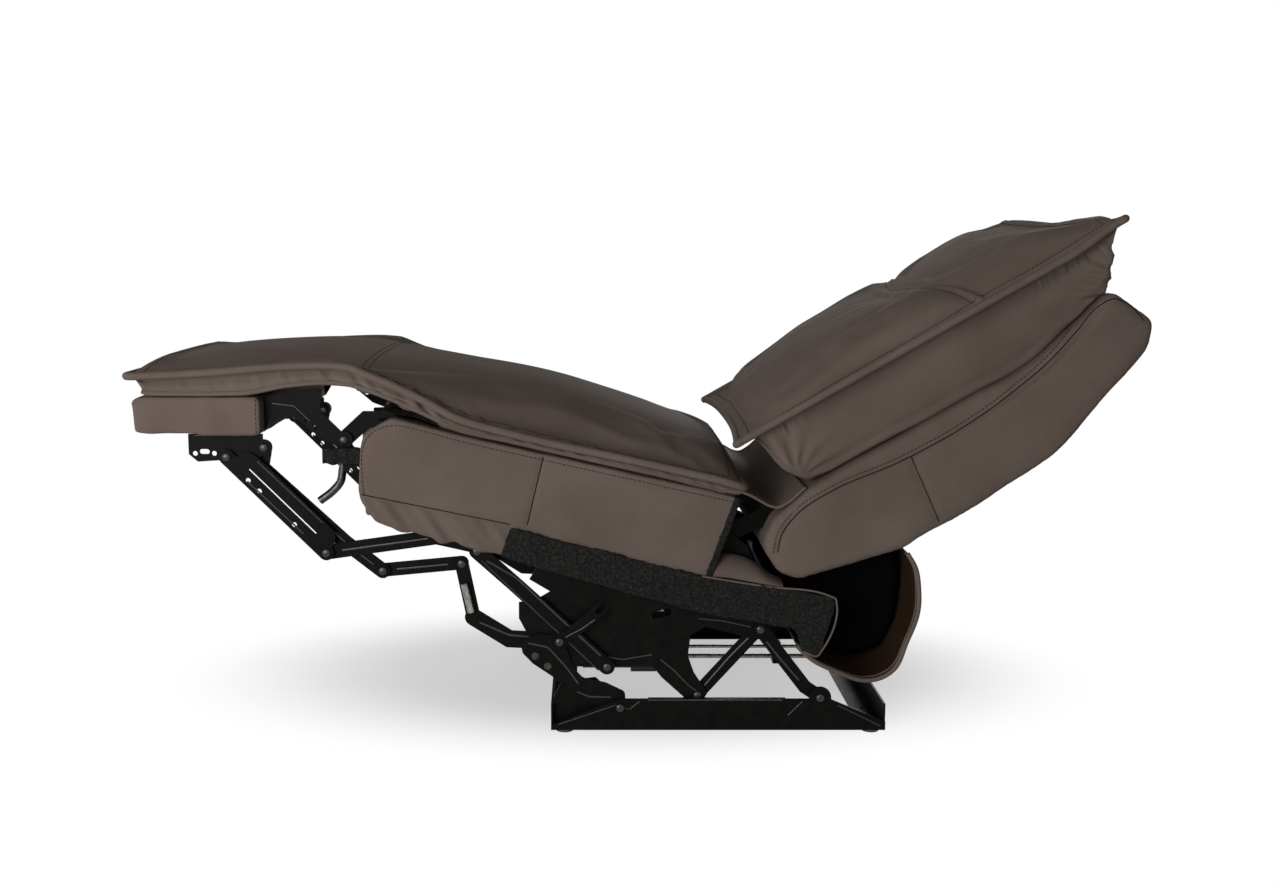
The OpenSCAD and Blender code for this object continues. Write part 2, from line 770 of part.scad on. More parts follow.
module rear_link(side) {
    color(steel) on_side(side) side_plate_at(layer_d) difference() {
        bar([seat_pivot_link, rear_end], link_w - 2);
        holes([seat_pivot_link, rear_end]);
    }
}

module rear_link_rivets() {
    color(chrome) both_sides() rivet(rear_end, layer_c, layer_d);
}

module long_link(side) {
    run = lower_end - board_pivot_front;
    along = unit(run);
    aside = [9.2, 9.2];
    slot_w = 2.6;
    color(steel) on_side(side) side_plate_at(layer_a) difference() {
        union() {
            bar([board_pivot_front, lower_end], link_w);
            bar([board_pivot_front + along * 34 + aside, lower_end - along * 22 + aside], link_w + 19);
        }
        holes([board_pivot_front, lower_end]);
        bar([board_pivot_front + along * 40 + [8, 8], lower_end - along * 34 + [8, 8]], slot_w);
        for (d = [50, 74, 150]) holes([board_pivot_front + along * d + [-2, -2]], 4);
    }
}

module cross_link(side) {
    bend = rear_end + [-58, 46];
    crook = board_pivot_rear + [-6, -32];
    color(steel) on_side(side) side_plate_at(layer_c) difference() {
        bar([rear_end, bend, crook, board_pivot_rear], link_w);
        holes([rear_end, board_pivot_rear]);
    }
}

base_rail("left");  // base_rail_left
base_rail("right");  // base_rail_right
base_bar(base_front_x, 1);  // base_front_bar
base_bar(base_rear_x, -1);  // base_rear_bar
base_feet();
base_rivets();
rear_support_link("left");  // rear_support_link_left
rear_support_link("right");  // rear_support_link_right
front_support_link("left");  // front_support_link_left
front_support_link("right");  // front_support_link_right
front_link_bolts();
side_plate("left");  // side_plate_left
side_plate("right");  // side_plate_right
seat_rail("left");  // seat_rail_left
seat_rail("right");  // seat_rail_right
front_arm("left");  // front_arm_left
front_arm("right");  // front_arm_right
arm_tubes();
rear_braces();
drive_channels();
knee_hanger("left");  // knee_hanger_left
knee_hanger("right");  // knee_hanger_right
knee_stop_arms();
seat_rivets();
front_cross_tube();
rear_cross_tube();
drive_gearbox();
drive_motor();
drive_screw();
drive_nut();
seat_side("left");  // seat_side_left
seat_side("right");  // seat_side_right
seat_front_board();
seat_rear_board();
seat_springs();
seat_cushion();
skirt_board("left");  // skirt_board_left
skirt_board("right");  // skirt_board_right
rear_flap();
back_shell();
back_cushion();
back_bracket("left");  // back_bracket_left
back_bracket("right");  // back_bracket_right
footrest_board();
leg_cushion();
footrest_bracket("left");  // footrest_bracket_left
footrest_bracket("right");  // footrest_bracket_right
knee_bracket("left");  // knee_bracket_left
knee_bracket("right");  // knee_bracket_right
footrest_rivets();
lower_link("left");  // lower_link_left
lower_link("right");  // lower_link_right
lower_link_rivets();
rear_link("left");  // rear_link_left
rear_link("right");  // rear_link_right
rear_link_rivets();
long_link("left");  // long_link_left
long_link("right");  // long_link_right
cross_link("left");  // cross_link_left
cross_link("right");  // cross_link_right
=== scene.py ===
import json
import math

import bmesh
import bpy
import numpy as np
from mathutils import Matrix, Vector
from mathutils.bvhtree import BVHTree


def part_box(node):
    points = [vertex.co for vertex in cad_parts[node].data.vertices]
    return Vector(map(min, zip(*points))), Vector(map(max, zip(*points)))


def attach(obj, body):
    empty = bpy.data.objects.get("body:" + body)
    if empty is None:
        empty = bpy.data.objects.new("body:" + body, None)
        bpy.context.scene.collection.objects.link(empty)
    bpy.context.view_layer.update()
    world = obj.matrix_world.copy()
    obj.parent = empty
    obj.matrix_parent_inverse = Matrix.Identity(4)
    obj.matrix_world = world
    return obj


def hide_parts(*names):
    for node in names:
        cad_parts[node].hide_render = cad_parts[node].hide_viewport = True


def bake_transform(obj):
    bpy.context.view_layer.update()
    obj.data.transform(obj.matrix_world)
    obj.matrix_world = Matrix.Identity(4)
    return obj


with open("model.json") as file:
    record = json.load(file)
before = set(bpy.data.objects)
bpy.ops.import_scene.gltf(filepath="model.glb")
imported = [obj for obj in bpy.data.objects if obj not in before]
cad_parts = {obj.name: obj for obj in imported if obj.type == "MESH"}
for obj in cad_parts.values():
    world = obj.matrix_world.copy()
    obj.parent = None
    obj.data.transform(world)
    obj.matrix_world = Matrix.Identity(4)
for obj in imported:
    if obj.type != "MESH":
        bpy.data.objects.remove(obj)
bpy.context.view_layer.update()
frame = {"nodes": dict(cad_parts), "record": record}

# The view
# A short telephoto lens at sitting eye height, well to the side of the chair, tilted a little down.
# The photograph is a crop from the right half of its frame, which the shift repeats.
EYE = (-0.0765, -2.403, 0.785)
TILT_DOWN = 8.28
LENS_MM = 38.9
SHIFT = 0.0403

bpy.context.scene.view_settings.view_transform = "Standard"
camera_data = bpy.data.cameras.new("camera")
camera_data.lens = LENS_MM
camera_data.sensor_width = 36
camera_data.shift_x = SHIFT
camera = bpy.data.objects.new("camera", camera_data)
camera.location = EYE
camera.rotation_euler = (math.radians(90 - TILT_DOWN), 0, 0)
bpy.context.scene.collection.objects.link(camera)
bpy.context.scene.camera = camera


# The studio
# White seamless paper on the floor, a white backdrop, and large soft lamps. The lamp beside the camera
# lights the chair's side, so that the tops of the pads stay darker, as they do in the photograph.
def linear(code, alpha=1.0):
    """The linear colour of an sRGB hex code such as 5a4c45."""
    parts = [int(code[i:i + 2], 16) / 255 for i in (0, 2, 4)]
    return [c / 12.92 if c <= 0.04045 else ((c + 0.055) / 1.055) ** 2.4 for c in parts] + [alpha]


def add(tree, kind, settings=None, links=None, stops=()):
    """A new node with its settings by name or number, its inputs joined to outputs, and its ramp's stops."""
    made = tree.nodes.new(kind)
    for name, value in (settings or {}).items():
        if isinstance(name, int) or name in made.inputs:
            made.inputs[name].default_value = value
        else:
            setattr(made, name, value)
    for name, source in (links or {}).items():
        tree.links.new(source, made.inputs[name])
    if stops:
        marks = made.color_ramp.elements
        while len(marks) < len(stops):
            marks.new(0.5)
        for mark, (position, code) in zip(marks, stops):
            mark.position = position
            mark.color = linear(code)
    return made


def new_material(name):
    """An empty material, its tree, its output node, and the places on the object that carries it."""
    made = bpy.data.materials.new(name)
    made.use_nodes = True
    tree = made.node_tree
    tree.nodes.clear()
    place = add(tree, "ShaderNodeTexCoord").outputs["Object"]
    return made, tree, add(tree, "ShaderNodeOutputMaterial"), place


def seen_rays(tree):
    """1 for what the camera sees, straight or by way of a gloss, and 0 for light on its way to a surface."""
    rays = add(tree, "ShaderNodeLightPath").outputs
    seen = rays["Is Camera Ray"]
    for kind in ("Is Glossy Ray", "Is Transmission Ray"):
        seen = add(tree, "ShaderNodeMath", {"operation": "MAXIMUM"}, {0: seen, 1: rays[kind]}).outputs[0]
    return seen


def mesh_piece(name, points, faces, material=None, smooth=True):
    """A new mesh object at the origin."""
    mesh = bpy.data.meshes.new(name)
    mesh.from_pydata([tuple(map(float, p)) for p in points], [], [tuple(f) for f in faces])
    mesh.update()
    if smooth:
        mesh.shade_smooth()
    made = bpy.data.objects.new(name, mesh)
    bpy.context.scene.collection.objects.link(made)
    if material:
        mesh.materials.append(material)
    return made


# The paper glows white for the camera: half as much near the chair, where this glow pales its own shadows,
# and fully further off.
PAPER_HALF = 30.0
SHADOW_MIDDLE = (0.0, 0.06, 0.0)
SHADOW_SQUEEZE = 1.75
SHADOW_NEAR = 0.35
SHADOW_FAR = 0.86
SHADOW_WHITE = 0.50

paper, tree, out, place = new_material("seamless_paper")
around = add(tree, "ShaderNodeVectorMath", {"operation": "SUBTRACT", 1: SHADOW_MIDDLE}, {0: place})
flat = add(tree, "ShaderNodeVectorMath", {"operation": "MULTIPLY", 1: (1, SHADOW_SQUEEZE, 0)},
           {0: around.outputs[0]})
away = add(tree, "ShaderNodeVectorMath", {"operation": "LENGTH"}, {0: flat.outputs[0]})
fade = add(tree, "ShaderNodeMapRange",
           {"interpolation_type": "SMOOTHSTEP", "From Min": SHADOW_NEAR, "From Max": SHADOW_FAR,
            "To Min": SHADOW_WHITE, "To Max": 1.0}, {"Value": away.outputs["Value"]})
glow = add(tree, "ShaderNodeMath", {"operation": "MULTIPLY"}, {0: fade.outputs[0], 1: seen_rays(tree)})
sheet = add(tree, "ShaderNodeBsdfDiffuse", {"Color": linear("f4f4f4")})
white = add(tree, "ShaderNodeEmission", {"Color": (1, 1, 1, 1), "Strength": 1.0})
both = add(tree, "ShaderNodeMixShader", {}, {0: glow.outputs[0], 1: sheet.outputs[0], 2: white.outputs[0]})
tree.links.new(both.outputs[0], out.inputs["Surface"])

corners = [(-PAPER_HALF, -PAPER_HALF, 0), (PAPER_HALF, -PAPER_HALF, 0), (PAPER_HALF, PAPER_HALF, 0),
           (-PAPER_HALF, PAPER_HALF, 0)]
floor = mesh_piece("floor", corners, [(0, 1, 2, 3)], paper, smooth=False)

world = bpy.data.worlds.new("studio")
bpy.context.scene.world = world
world.use_nodes = True
tree = world.node_tree
tree.nodes.clear()
fill = add(tree, "ShaderNodeBackground", {"Color": (1, 1, 1, 1), "Strength": 0.11})
backdrop = add(tree, "ShaderNodeBackground", {"Color": (1, 1, 1, 1), "Strength": 1.0})
both = add(tree, "ShaderNodeMixShader", {}, {0: seen_rays(tree), 1: fill.outputs[0], 2: backdrop.outputs[0]})
add(tree, "ShaderNodeOutputWorld", {}, {"Surface": both.outputs[0]})

# Each lamp has its place, what it points at, its size and its watts.
LAMPS = {
    "front_lamp": ((-1.7, -3.2, 0.85), (-0.2, 0.0, 0.4), 2.0, 88),
    "left_lamp": ((-3.4, -0.8, 1.0), (-0.2, 0.0, 0.4), 1.6, 11),
    "top_lamp": ((-0.6, -0.4, 3.0), (-0.2, 0.0, 0.4), 1.2, 2),
    "rear_lamp": ((1.4, 3.2, 0.7), (0.1, 0.0, 0.4), 2.0, 46),
}
for name, (at, target, size, watts) in LAMPS.items():
    light = bpy.data.lights.new(name, "AREA")
    light.size = size
    light.energy = watts
    lamp = bpy.data.objects.new(name, light)
    lamp.location = at
    aim = [t - a for t, a in zip(target, at)]
    flat_run = math.hypot(aim[0], aim[1])
    lamp.rotation_euler = (math.atan2(flat_run, -aim[2]), 0, math.atan2(aim[1], aim[0]) - math.pi / 2)
    bpy.context.scene.collection.objects.link(lamp)


# The steel mechanism
# Stamped steel plates and links in baked black enamel: a satin black skin with a faint orange peel. The
# pressed ribs and the riveted heads on the plates' outer faces are glossier, and painted paler as a
# highlight.
def black_enamel(name, dark, pale, shine, rough_low, rough_high):
    """Baked enamel between two tones: satin, hardly wavy, a little cloudy with handling."""
    made, tree, out, place = new_material(name)
    dust = add(tree, "ShaderNodeTexNoise", {"Scale": 60, "Detail": 3}, {"Vector": place}).outputs["Fac"]
    tone = add(tree, "ShaderNodeValToRGB", {}, {"Fac": dust}, [(0.35, dark), (0.7, pale)])
    gloss = add(tree, "ShaderNodeMapRange", {"To Min": rough_low, "To Max": rough_high}, {"Value": dust})
    peel = add(tree, "ShaderNodeTexNoise", {"Scale": 900, "Detail": 2}, {"Vector": place})
    bump = add(tree, "ShaderNodeBump", {"Strength": 0.12, "Distance": 0.0004},
               {"Height": peel.outputs["Fac"]})
    skin = add(tree, "ShaderNodeBsdfPrincipled", {"IOR": 1.5, "Specular IOR Level": shine},
               {"Base Color": tone.outputs["Color"], "Roughness": gloss.outputs[0],
                "Normal": bump.outputs[0]})
    tree.links.new(skin.outputs[0], out.inputs["Surface"])
    return made


def zinc_plate(name, dark, pale):
    """Zinc plate between two tones: polished metal that is a little cloudy."""
    made, tree, out, place = new_material(name)
    cloud = add(tree, "ShaderNodeTexNoise", {"Scale": 140, "Detail": 3}, {"Vector": place}).outputs["Fac"]
    tone = add(tree, "ShaderNodeValToRGB", {}, {"Fac": cloud}, [(0.3, dark), (0.75, pale)])
    gloss = add(tree, "ShaderNodeMapRange", {"To Min": 0.2, "To Max": 0.36}, {"Value": cloud})
    skin = add(tree, "ShaderNodeBsdfPrincipled", {"Metallic": 1.0},
               {"Base Color": tone.outputs["Color"], "Roughness": gloss.outputs[0]})
    tree.links.new(skin.outputs[0], out.inputs["Surface"])
    return made


enamel = black_enamel("black_enamel", "0b0b0a", "131210", shine=0.04, rough_low=0.32, rough_high=0.5)
# The enamel of the ribs and the riveted heads: glossier, and paler as a painted highlight.
highlight_enamel = black_enamel("painted_highlight_enamel", "1b1a19", "2b2a28", shine=0.42, rough_low=0.2, rough_high=0.34)
zinc = zinc_plate("zinc_plate", "6f6d69", "9c9a95")
dark_zinc = zinc_plate("black_zinc", "2c2b29", "4b4946")
slot_of = {part["node"]: part["material_slot"] for part in frame["record"]["subparts"]}


def dress(nodes, material):
    """Gives CAD nodes a material."""
    for node in nodes:
        mesh = frame["nodes"][node].data
        mesh.materials.clear()
        mesh.materials.append(material)


dress([n for n, s in slot_of.items() if s in ("frame_steel", "spring_steel")], enamel)
dress([n for n, s in slot_of.items() if s == "plated_steel"], zinc)
dress([n for n in slot_of if n.endswith("_rivets")], enamel)
dress(["front_link_bolts"], dark_zinc)


def bake(piece, material=None):
    """Turns a piece's modifiers into its mesh."""
    graph = bpy.context.evaluated_depsgraph_get()
    graph.update()
    mesh = bpy.data.meshes.new_from_object(piece.evaluated_get(graph))
    piece.modifiers.clear()
    piece.data = mesh
    if material:
        mesh.materials.clear()
        mesh.materials.append(material)
    return piece


def coordinates(piece):
    """A mesh piece's points as an array."""
    flat_list = np.zeros(len(piece.data.vertices) * 3)
    piece.data.vertices.foreach_get("co", flat_list)
    return flat_list.reshape(-1, 3)


def move_points(piece, points):
    """Puts a mesh piece's points at new places."""
    piece.data.vertices.foreach_set("co", np.asarray(points, float).ravel())
    piece.data.update()


def cad_copy(name, nodes, material=None):
    """A closed copy of CAD nodes' meshes, to be reshaped."""
    shape = bmesh.new()
    for node in nodes:
        shape.from_mesh(frame["nodes"][node].data)
    bmesh.ops.remove_doubles(shape, verts=shape.verts, dist=1e-5)
    bmesh.ops.recalc_face_normals(shape, faces=shape.faces)
    mesh = bpy.data.meshes.new(name)
    shape.to_mesh(mesh)
    shape.free()
    made = bpy.data.objects.new(name, mesh)
    bpy.context.scene.collection.objects.link(made)
    mesh.materials.clear()
    if material:
        mesh.materials.append(material)
    return made


def loose_boxes(node):
    """The corner pairs of each separate solid in a CAD node."""
    shape = bmesh.new()
    shape.from_mesh(frame["nodes"][node].data)
    bmesh.ops.remove_doubles(shape, verts=shape.verts, dist=1e-5)
    seen, boxes = set(), []
    for start in shape.verts:
        if start in seen:
            continue
        group, todo = [], [start]
        seen.add(start)
        while todo:
            vert = todo.pop()
            group.append(vert.co.copy())
            for edge in vert.link_edges:
                other = edge.other_vert(vert)
                if other not in seen:
                    seen.add(other)
                    todo.append(other)
        array = np.array(group)
        boxes.append((array.min(0), array.max(0)))
    shape.free()
    return boxes


def shape_tree(name, *lengths, counts=()):
    """A geometry nodes tree that takes a shape, lengths, counts and a material, and what it is given."""
    tree = bpy.data.node_groups.new(name, "GeometryNodeTree")
    kinds = {"Geometry": "Geometry", **{label: "Float" for label in lengths},
             **{label: "Int" for label in counts}, "Material": "Material"}
    for label, kind in kinds.items():
        tree.interface.new_socket(label, in_out="INPUT", socket_type=f"NodeSocket{kind}")
    tree.interface.new_socket("Geometry", in_out="OUTPUT", socket_type="NodeSocketGeometry")
    return tree, add(tree, "NodeGroupInput").outputs


def hand_out(tree, given, shape):
    """Ends a geometry nodes tree: its shape is smoothed and gets the material that the tree is given."""
    soft = add(tree, "GeometryNodeSetShadeSmooth", {}, {"Geometry": shape})
    painted = add(tree, "GeometryNodeSetMaterial", {},
                  {"Geometry": soft.outputs[0], "Material": given["Material"]})
    add(tree, "NodeGroupOutput", {}, {"Geometry": painted.outputs[0]})
    return tree


def head_tree():
    """Geometry nodes that set a low dome on each point: a riveted head, wide along X and Z, low along Y."""
    tree, given = shape_tree("riveted_heads", "Radius", "Height")
    ball = add(tree, "GeometryNodeMeshUVSphere", {"Segments": 20, "Rings": 12, "Radius": 1.0})
    scale = add(tree, "ShaderNodeCombineXYZ", {},
                {"X": given["Radius"], "Y": given["Height"], "Z": given["Radius"]})
    dome = add(tree, "GeometryNodeTransform", {},
               {"Geometry": ball.outputs["Mesh"], "Scale": scale.outputs[0]})
    points = add(tree, "GeometryNodeMeshToPoints", {}, {"Mesh": given["Geometry"]})
    heads = add(tree, "GeometryNodeInstanceOnPoints", {},
                {"Points": points.outputs[0], "Instance": dome.outputs[0]})
    solid = add(tree, "GeometryNodeRealizeInstances", {}, {"Geometry": heads.outputs[0]})
    return hand_out(tree, given, solid.outputs[0])


def run_nodes(piece, tree, values):
    """Gives a piece a geometry nodes modifier with its inputs set, and turns the result into its mesh."""
    modifier = piece.modifiers.new("shape", "NODES")
    modifier.node_group = tree
    for item in tree.interface.items_tree:
        if item.item_type == "SOCKET" and item.in_out == "INPUT" and item.name in values:
            modifier[item.identifier] = values[item.name]
    return bake(piece)


heads = head_tree()
HEAD_RADIUS = 0.0072
HEAD_HEIGHT = 0.0032
HEAD_SINK = 0.0016
for body, nodes in frame["record"]["behaviour"]["bodies"].items():
    spots = []
    for node in nodes:
        if not node.endswith("_rivets"):
            continue
        for low, high in loose_boxes(node):
            x, _, z = (low + high) / 2
            spots += [(x, low[1] + HEAD_SINK, z), (x, high[1] - HEAD_SINK, z)]
    if spots:
        # The heads take the paler enamel, a painted highlight.
        domes = mesh_piece(f"{body}_rivet_heads", spots, [])
        run_nodes(domes, heads, {"Radius": HEAD_RADIUS, "Height": HEAD_HEIGHT, "Material": highlight_enamel})
        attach(domes, body)


def roll_tree():
    """Geometry nodes that sweep a round section along the piece's edges."""
    tree, given = shape_tree("roll_along_edges", "Radius", "Spacing", counts=("Sides",))
    path = add(tree, "GeometryNodeMeshToCurve", {}, {"Mesh": given["Geometry"]})
    even = add(tree, "GeometryNodeResampleCurve", {"mode": "LENGTH"},
               {"Curve": path.outputs[0], "Length": given["Spacing"]})
    ring = add(tree, "GeometryNodeCurvePrimitiveCircle", {},
               {"Radius": given["Radius"], "Resolution": given["Sides"]})
    tube = add(tree, "GeometryNodeCurveToMesh", {"Fill Caps": True},
               {"Curve": even.outputs[0], "Profile Curve": ring.outputs["Curve"]})
    return hand_out(tree, given, tube.outputs[0])


rolls = roll_tree()


def path_piece(name, paths, closed):
    """A piece of bare edges along paths of points."""
    points, edges = [], []
    for path in paths:
        start = len(points)
        points += [tuple(map(float, p)) for p in path]
        edges += [(start + i, start + i + 1) for i in range(len(path) - 1)]
        if closed:
            edges.append((len(points) - 1, start))
    made = mesh_piece(name, [], [])
    made.data.from_pydata(points, edges, [])
    return made


def roll(name, paths, radius, material, spacing=0.004, sides=14, closed=False):
    """Round rolls of one radius along paths of points."""
    return run_nodes(path_piece(name, paths, closed), rolls,
                     {"Radius": radius, "Spacing": spacing, "Sides": sides, "Material": material})


# The ribs of the steel parts
# Links and plates are stiffened by ribs pressed into them, and channels have rolled lips. Each rib has its
# distance from the chair's middle, its radius and its line of (x, z), and is glossier and painted paler as a
# highlight.
RIBS = {
    "seat": [
        (0.2680, 0.0022, [(-0.236, 0.283), (-0.190, 0.256), (-0.120, 0.189), (-0.056, 0.128)]),
        (0.2680, 0.0012, [(-0.245, 0.284), (-0.197, 0.2365), (-0.127, 0.169), (-0.060, 0.104)]),
        (0.2740, 0.0014, [(-0.112, 0.160), (-0.085, 0.1745), (-0.066, 0.1885)]),
        (0.2500, 0.0022, [(-0.250, 0.178), (-0.203, 0.157), (-0.160, 0.153)]),
        (0.2500, 0.0020, [(0.112, 0.073), (0.150, 0.119), (0.184, 0.155)]),
        (0.2560, 0.0016, [(-0.086, 0.148), (-0.064, 0.124), (-0.020, 0.118), (0.026, 0.126)]),
        (0.2560, 0.0016, [(0.040, 0.118), (0.062, 0.100), (0.086, 0.074), (0.098, 0.066)]),
        (0.2560, 0.0016, [(0.100, 0.186), (0.140, 0.182), (0.184, 0.172)]),
        (0.2500, 0.0024, [(-0.290, 0.319), (-0.215, 0.300), (-0.160, 0.289)])],
    "lower_links": [(0.2560, 0.0024, [(-0.330, 0.3168), (-0.400, 0.3069), (-0.466, 0.2976)])],
    "rear_links": [(0.2440, 0.0022, [(-0.300, 0.2719), (-0.340, 0.2681), (-0.382, 0.2641)])],
    "cross_links": [(0.2500, 0.0022, [(-0.418, 0.2731), (-0.458, 0.3049), (-0.585, 0.424)])],
    "rear_support_links": [(0.2620, 0.0024, [(0.262, 0.086), (0.232, 0.121), (0.209, 0.150)])],
    "front_support_links": [
        (0.2620, 0.0020, [(-0.172, 0.147), (-0.140, 0.140), (-0.112, 0.108), (-0.092, 0.080)]),
        (0.2620, 0.0018, [(-0.094, 0.066), (-0.074, 0.058), (-0.040, 0.057)])],
    "long_links": [
        (0.2620, 0.0014, [(-0.595, 0.441), (-0.495, 0.343)]),
        (0.2620, 0.0014, [(-0.612, 0.4095), (-0.526, 0.3255)])],
    "base": [
        (0.2680, 0.0009, [(-0.1235, 0.0137), (-0.0315, 0.0458), (-0.0103, 0.0384), (0.0061, 0.0517)]),
        (0.2680, 0.0009, [(0.2445, 0.0285), (0.2675, 0.0517)]),
        (0.2680, 0.0009, [(0.3242, 0.0458), (0.3936, 0.0112)]),
        (0.2680, 0.0016, [(0.020, 0.0545), (0.235, 0.0545)])],
    "footrest": [
        (0.2560, 0.0014, [(-0.570, 0.532), (-0.536, 0.528), (-0.512, 0.504)]),
        (0.2560, 0.0012, [(-0.694, 0.4815), (-0.600, 0.4815)])],
}
for body, bodies_ribs in RIBS.items():
    for number, (face, radius, line) in enumerate(bodies_ribs, 1):
        sides = [[(x, sign * face, z) for x, z in line] for sign in (-1, 1)]
        rib = roll(f"{body}_rib_{number}", sides, radius, highlight_enamel, spacing=0.005, sides=10)
        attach(rib, body)


# The leather
# Corrected-grain cowhide, dyed warm grey-brown and finished semi-matt: a pebbled grain of small cells, a
# little unevenness in the dye, and a soft broad highlight. The grain is drawn about twice its real size, so
# that it shows at this distance.
GRAIN_MM = 2.4


def leather_material(name, dark, pale, rough_low=0.68, rough_high=0.8):
    """Grained leather between two dye tones."""
    made, tree, out, place = new_material(name)
    dye = add(tree, "ShaderNodeTexNoise", {"Scale": 9, "Detail": 5, "Roughness": 0.55}, {"Vector": place})
    tone = add(tree, "ShaderNodeValToRGB", {}, {"Fac": dye.outputs["Fac"]}, [(0.3, dark), (0.7, pale)])
    cells = add(tree, "ShaderNodeTexVoronoi",
                {"feature": "SMOOTH_F1", "Scale": 1000 / GRAIN_MM, "Smoothness": 0.4}, {"Vector": place})
    crease = add(tree, "ShaderNodeTexNoise", {"Scale": 160, "Detail": 4, "Roughness": 0.6},
                 {"Vector": place})
    height = add(tree, "ShaderNodeMath", {"operation": "MULTIPLY_ADD", 1: 0.55},
                 {0: cells.outputs["Distance"], 2: crease.outputs["Fac"]})
    bump = add(tree, "ShaderNodeBump", {"Strength": 0.3, "Distance": 0.0006}, {"Height": height.outputs[0]})
    gloss = add(tree, "ShaderNodeMapRange", {"To Min": rough_low, "To Max": rough_high},
                {"Value": dye.outputs["Fac"]})
    skin = add(tree, "ShaderNodeBsdfPrincipled", {"IOR": 1.45, "Specular IOR Level": 0.03},
               {"Base Color": tone.outputs["Color"], "Roughness": gloss.outputs[0],
                "Normal": bump.outputs[0]})
    tree.links.new(skin.outputs[0], out.inputs["Surface"])
    return made


leather = leather_material("grained_leather", "61554e", "6c6059")
flesh_side = leather_material("leather_flesh_side", "2a1d15", "38291f", rough_low=0.8, rough_high=0.95)
thread = leather_material("bonded_thread", "231d19", "2d2621", rough_low=0.6, rough_high=0.7)


def ripples(points, direction, spacing, seed, waves=7, spread=0.35):
    """Uneven waves across a direction, from about -1 to 1, for folds that run square to it."""
    rng = np.random.default_rng(seed)
    base = np.array(direction, float)
    base /= np.linalg.norm(base)
    total = np.zeros(len(points))
    for _ in range(waves):
        way = base + spread * rng.normal(size=3)
        way /= np.linalg.norm(way)
        length = spacing * rng.uniform(0.6, 1.7)
        total += np.sin(points @ way * 2 * math.pi / length + rng.uniform(0, 2 * math.pi))
    return total / math.sqrt(waves)


def mirrored_ripples(points, direction, **wave):
    """The same ripples on the left and the right half of the chair."""
    right = ripples(points * np.array([1, -1, 1]), direction, **wave)
    return np.where(points[:, 1] < 0, ripples(points, direction, **wave), right)


def bell(values, middle, width):
    """1 at the middle value, falling off to 0 about a width away."""
    return np.exp(-((values - middle) / width) ** 2)


def normals_of(piece):
    """The unit normal at each point of a mesh piece."""
    flat_list = np.zeros(len(piece.data.vertices) * 3)
    piece.data.vertex_normals.foreach_get("vector", flat_list)
    return flat_list.reshape(-1, 3)


def near_line(points, start, end, width):
    """1 on a straight line between two points, falling off to 0 about a width away."""
    a, b = np.array(start, float), np.array(end, float)
    along = np.clip(((points - a) @ (b - a)) / ((b - a) @ (b - a)), 0, 1)
    gap = np.linalg.norm(points - a - along[:, None] * (b - a), axis=1)
    return bell(gap, 0, width)


def crease(points, line, face_y, width):
    """1 along a line of [x, z] on the face at that y, falling off to 0 about a width away."""
    return np.max([near_line(points, (a[0], face_y, a[1]), (b[0], face_y, b[1]), width)
                   for a, b in zip(line, line[1:])], axis=0)


def ease(values, low, high):
    """0 below low, 1 above high, smooth between."""
    t = np.clip((values - low) / (high - low), 0, 1)
    return t * t * (3 - 2 * t)


def push(piece, amount):
    """Moves a piece's points along their normals."""
    move_points(piece, coordinates(piece) + normals_of(piece) * np.asarray(amount)[:, None])


def soften(piece, voxel, passes, material):
    """Remeshes a piece evenly, finely enough to take folds, and rubs its edges round."""
    remesh = piece.modifiers.new("even", "REMESH")
    remesh.mode = "VOXEL"
    remesh.voxel_size = voxel
    smooth = piece.modifiers.new("soft", "SMOOTH")
    smooth.factor = 0.5
    smooth.iterations = passes
    bake(piece, material)
    piece.data.shade_smooth()
    return piece


def upholster(name, nodes, edge, voxel, passes=8, material=leather):
    """A covered copy of boards, with their edges rounded."""
    made = cad_copy(name, nodes)
    bevel = made.modifiers.new("round", "BEVEL")
    bevel.width = edge
    bevel.segments = 4
    bevel.limit_method = "ANGLE"
    bevel.angle_limit = math.radians(35)
    return soften(made, voxel, passes, material)


def thread_tree():
    """Geometry nodes that lay short threads end to end along the piece's edges."""
    tree, given = shape_tree("topstitches", "Pitch", "Length", "Radius")
    path = add(tree, "GeometryNodeMeshToCurve", {}, {"Mesh": given["Geometry"]})
    even = add(tree, "GeometryNodeResampleCurve", {"mode": "LENGTH"},
               {"Curve": path.outputs[0], "Length": given["Pitch"]})
    way = add(tree, "GeometryNodeInputTangent")
    turned = add(tree, "FunctionNodeAlignRotationToVector", {"axis": "Z"}, {"Vector": way.outputs[0]})
    stitch = add(tree, "GeometryNodeMeshUVSphere", {"Segments": 6, "Rings": 4, "Radius": 1.0})
    size = add(tree, "ShaderNodeCombineXYZ", {},
               {"X": given["Radius"], "Y": given["Radius"], "Z": given["Length"]})
    laid = add(tree, "GeometryNodeInstanceOnPoints", {},
               {"Points": even.outputs[0], "Instance": stitch.outputs["Mesh"], "Rotation": turned.outputs[0],
                "Scale": size.outputs[0]})
    solid = add(tree, "GeometryNodeRealizeInstances", {}, {"Geometry": laid.outputs[0]})
    return hand_out(tree, given, solid.outputs[0])


threads = thread_tree()
STITCH_PITCH = 0.0066
STITCH_LENGTH = 0.0056
THREAD_RADIUS = 0.0007


def topstitch(name, paths, closed=False):
    """Rows of stitches along paths of points."""
    made = run_nodes(path_piece(name, paths, closed), threads,
                     {"Pitch": STITCH_PITCH, "Length": STITCH_LENGTH / 2, "Radius": THREAD_RADIUS,
                      "Material": thread})
    return made


SEARCH_REACH = 0.4
SURFACE_LIFT = 0.0002


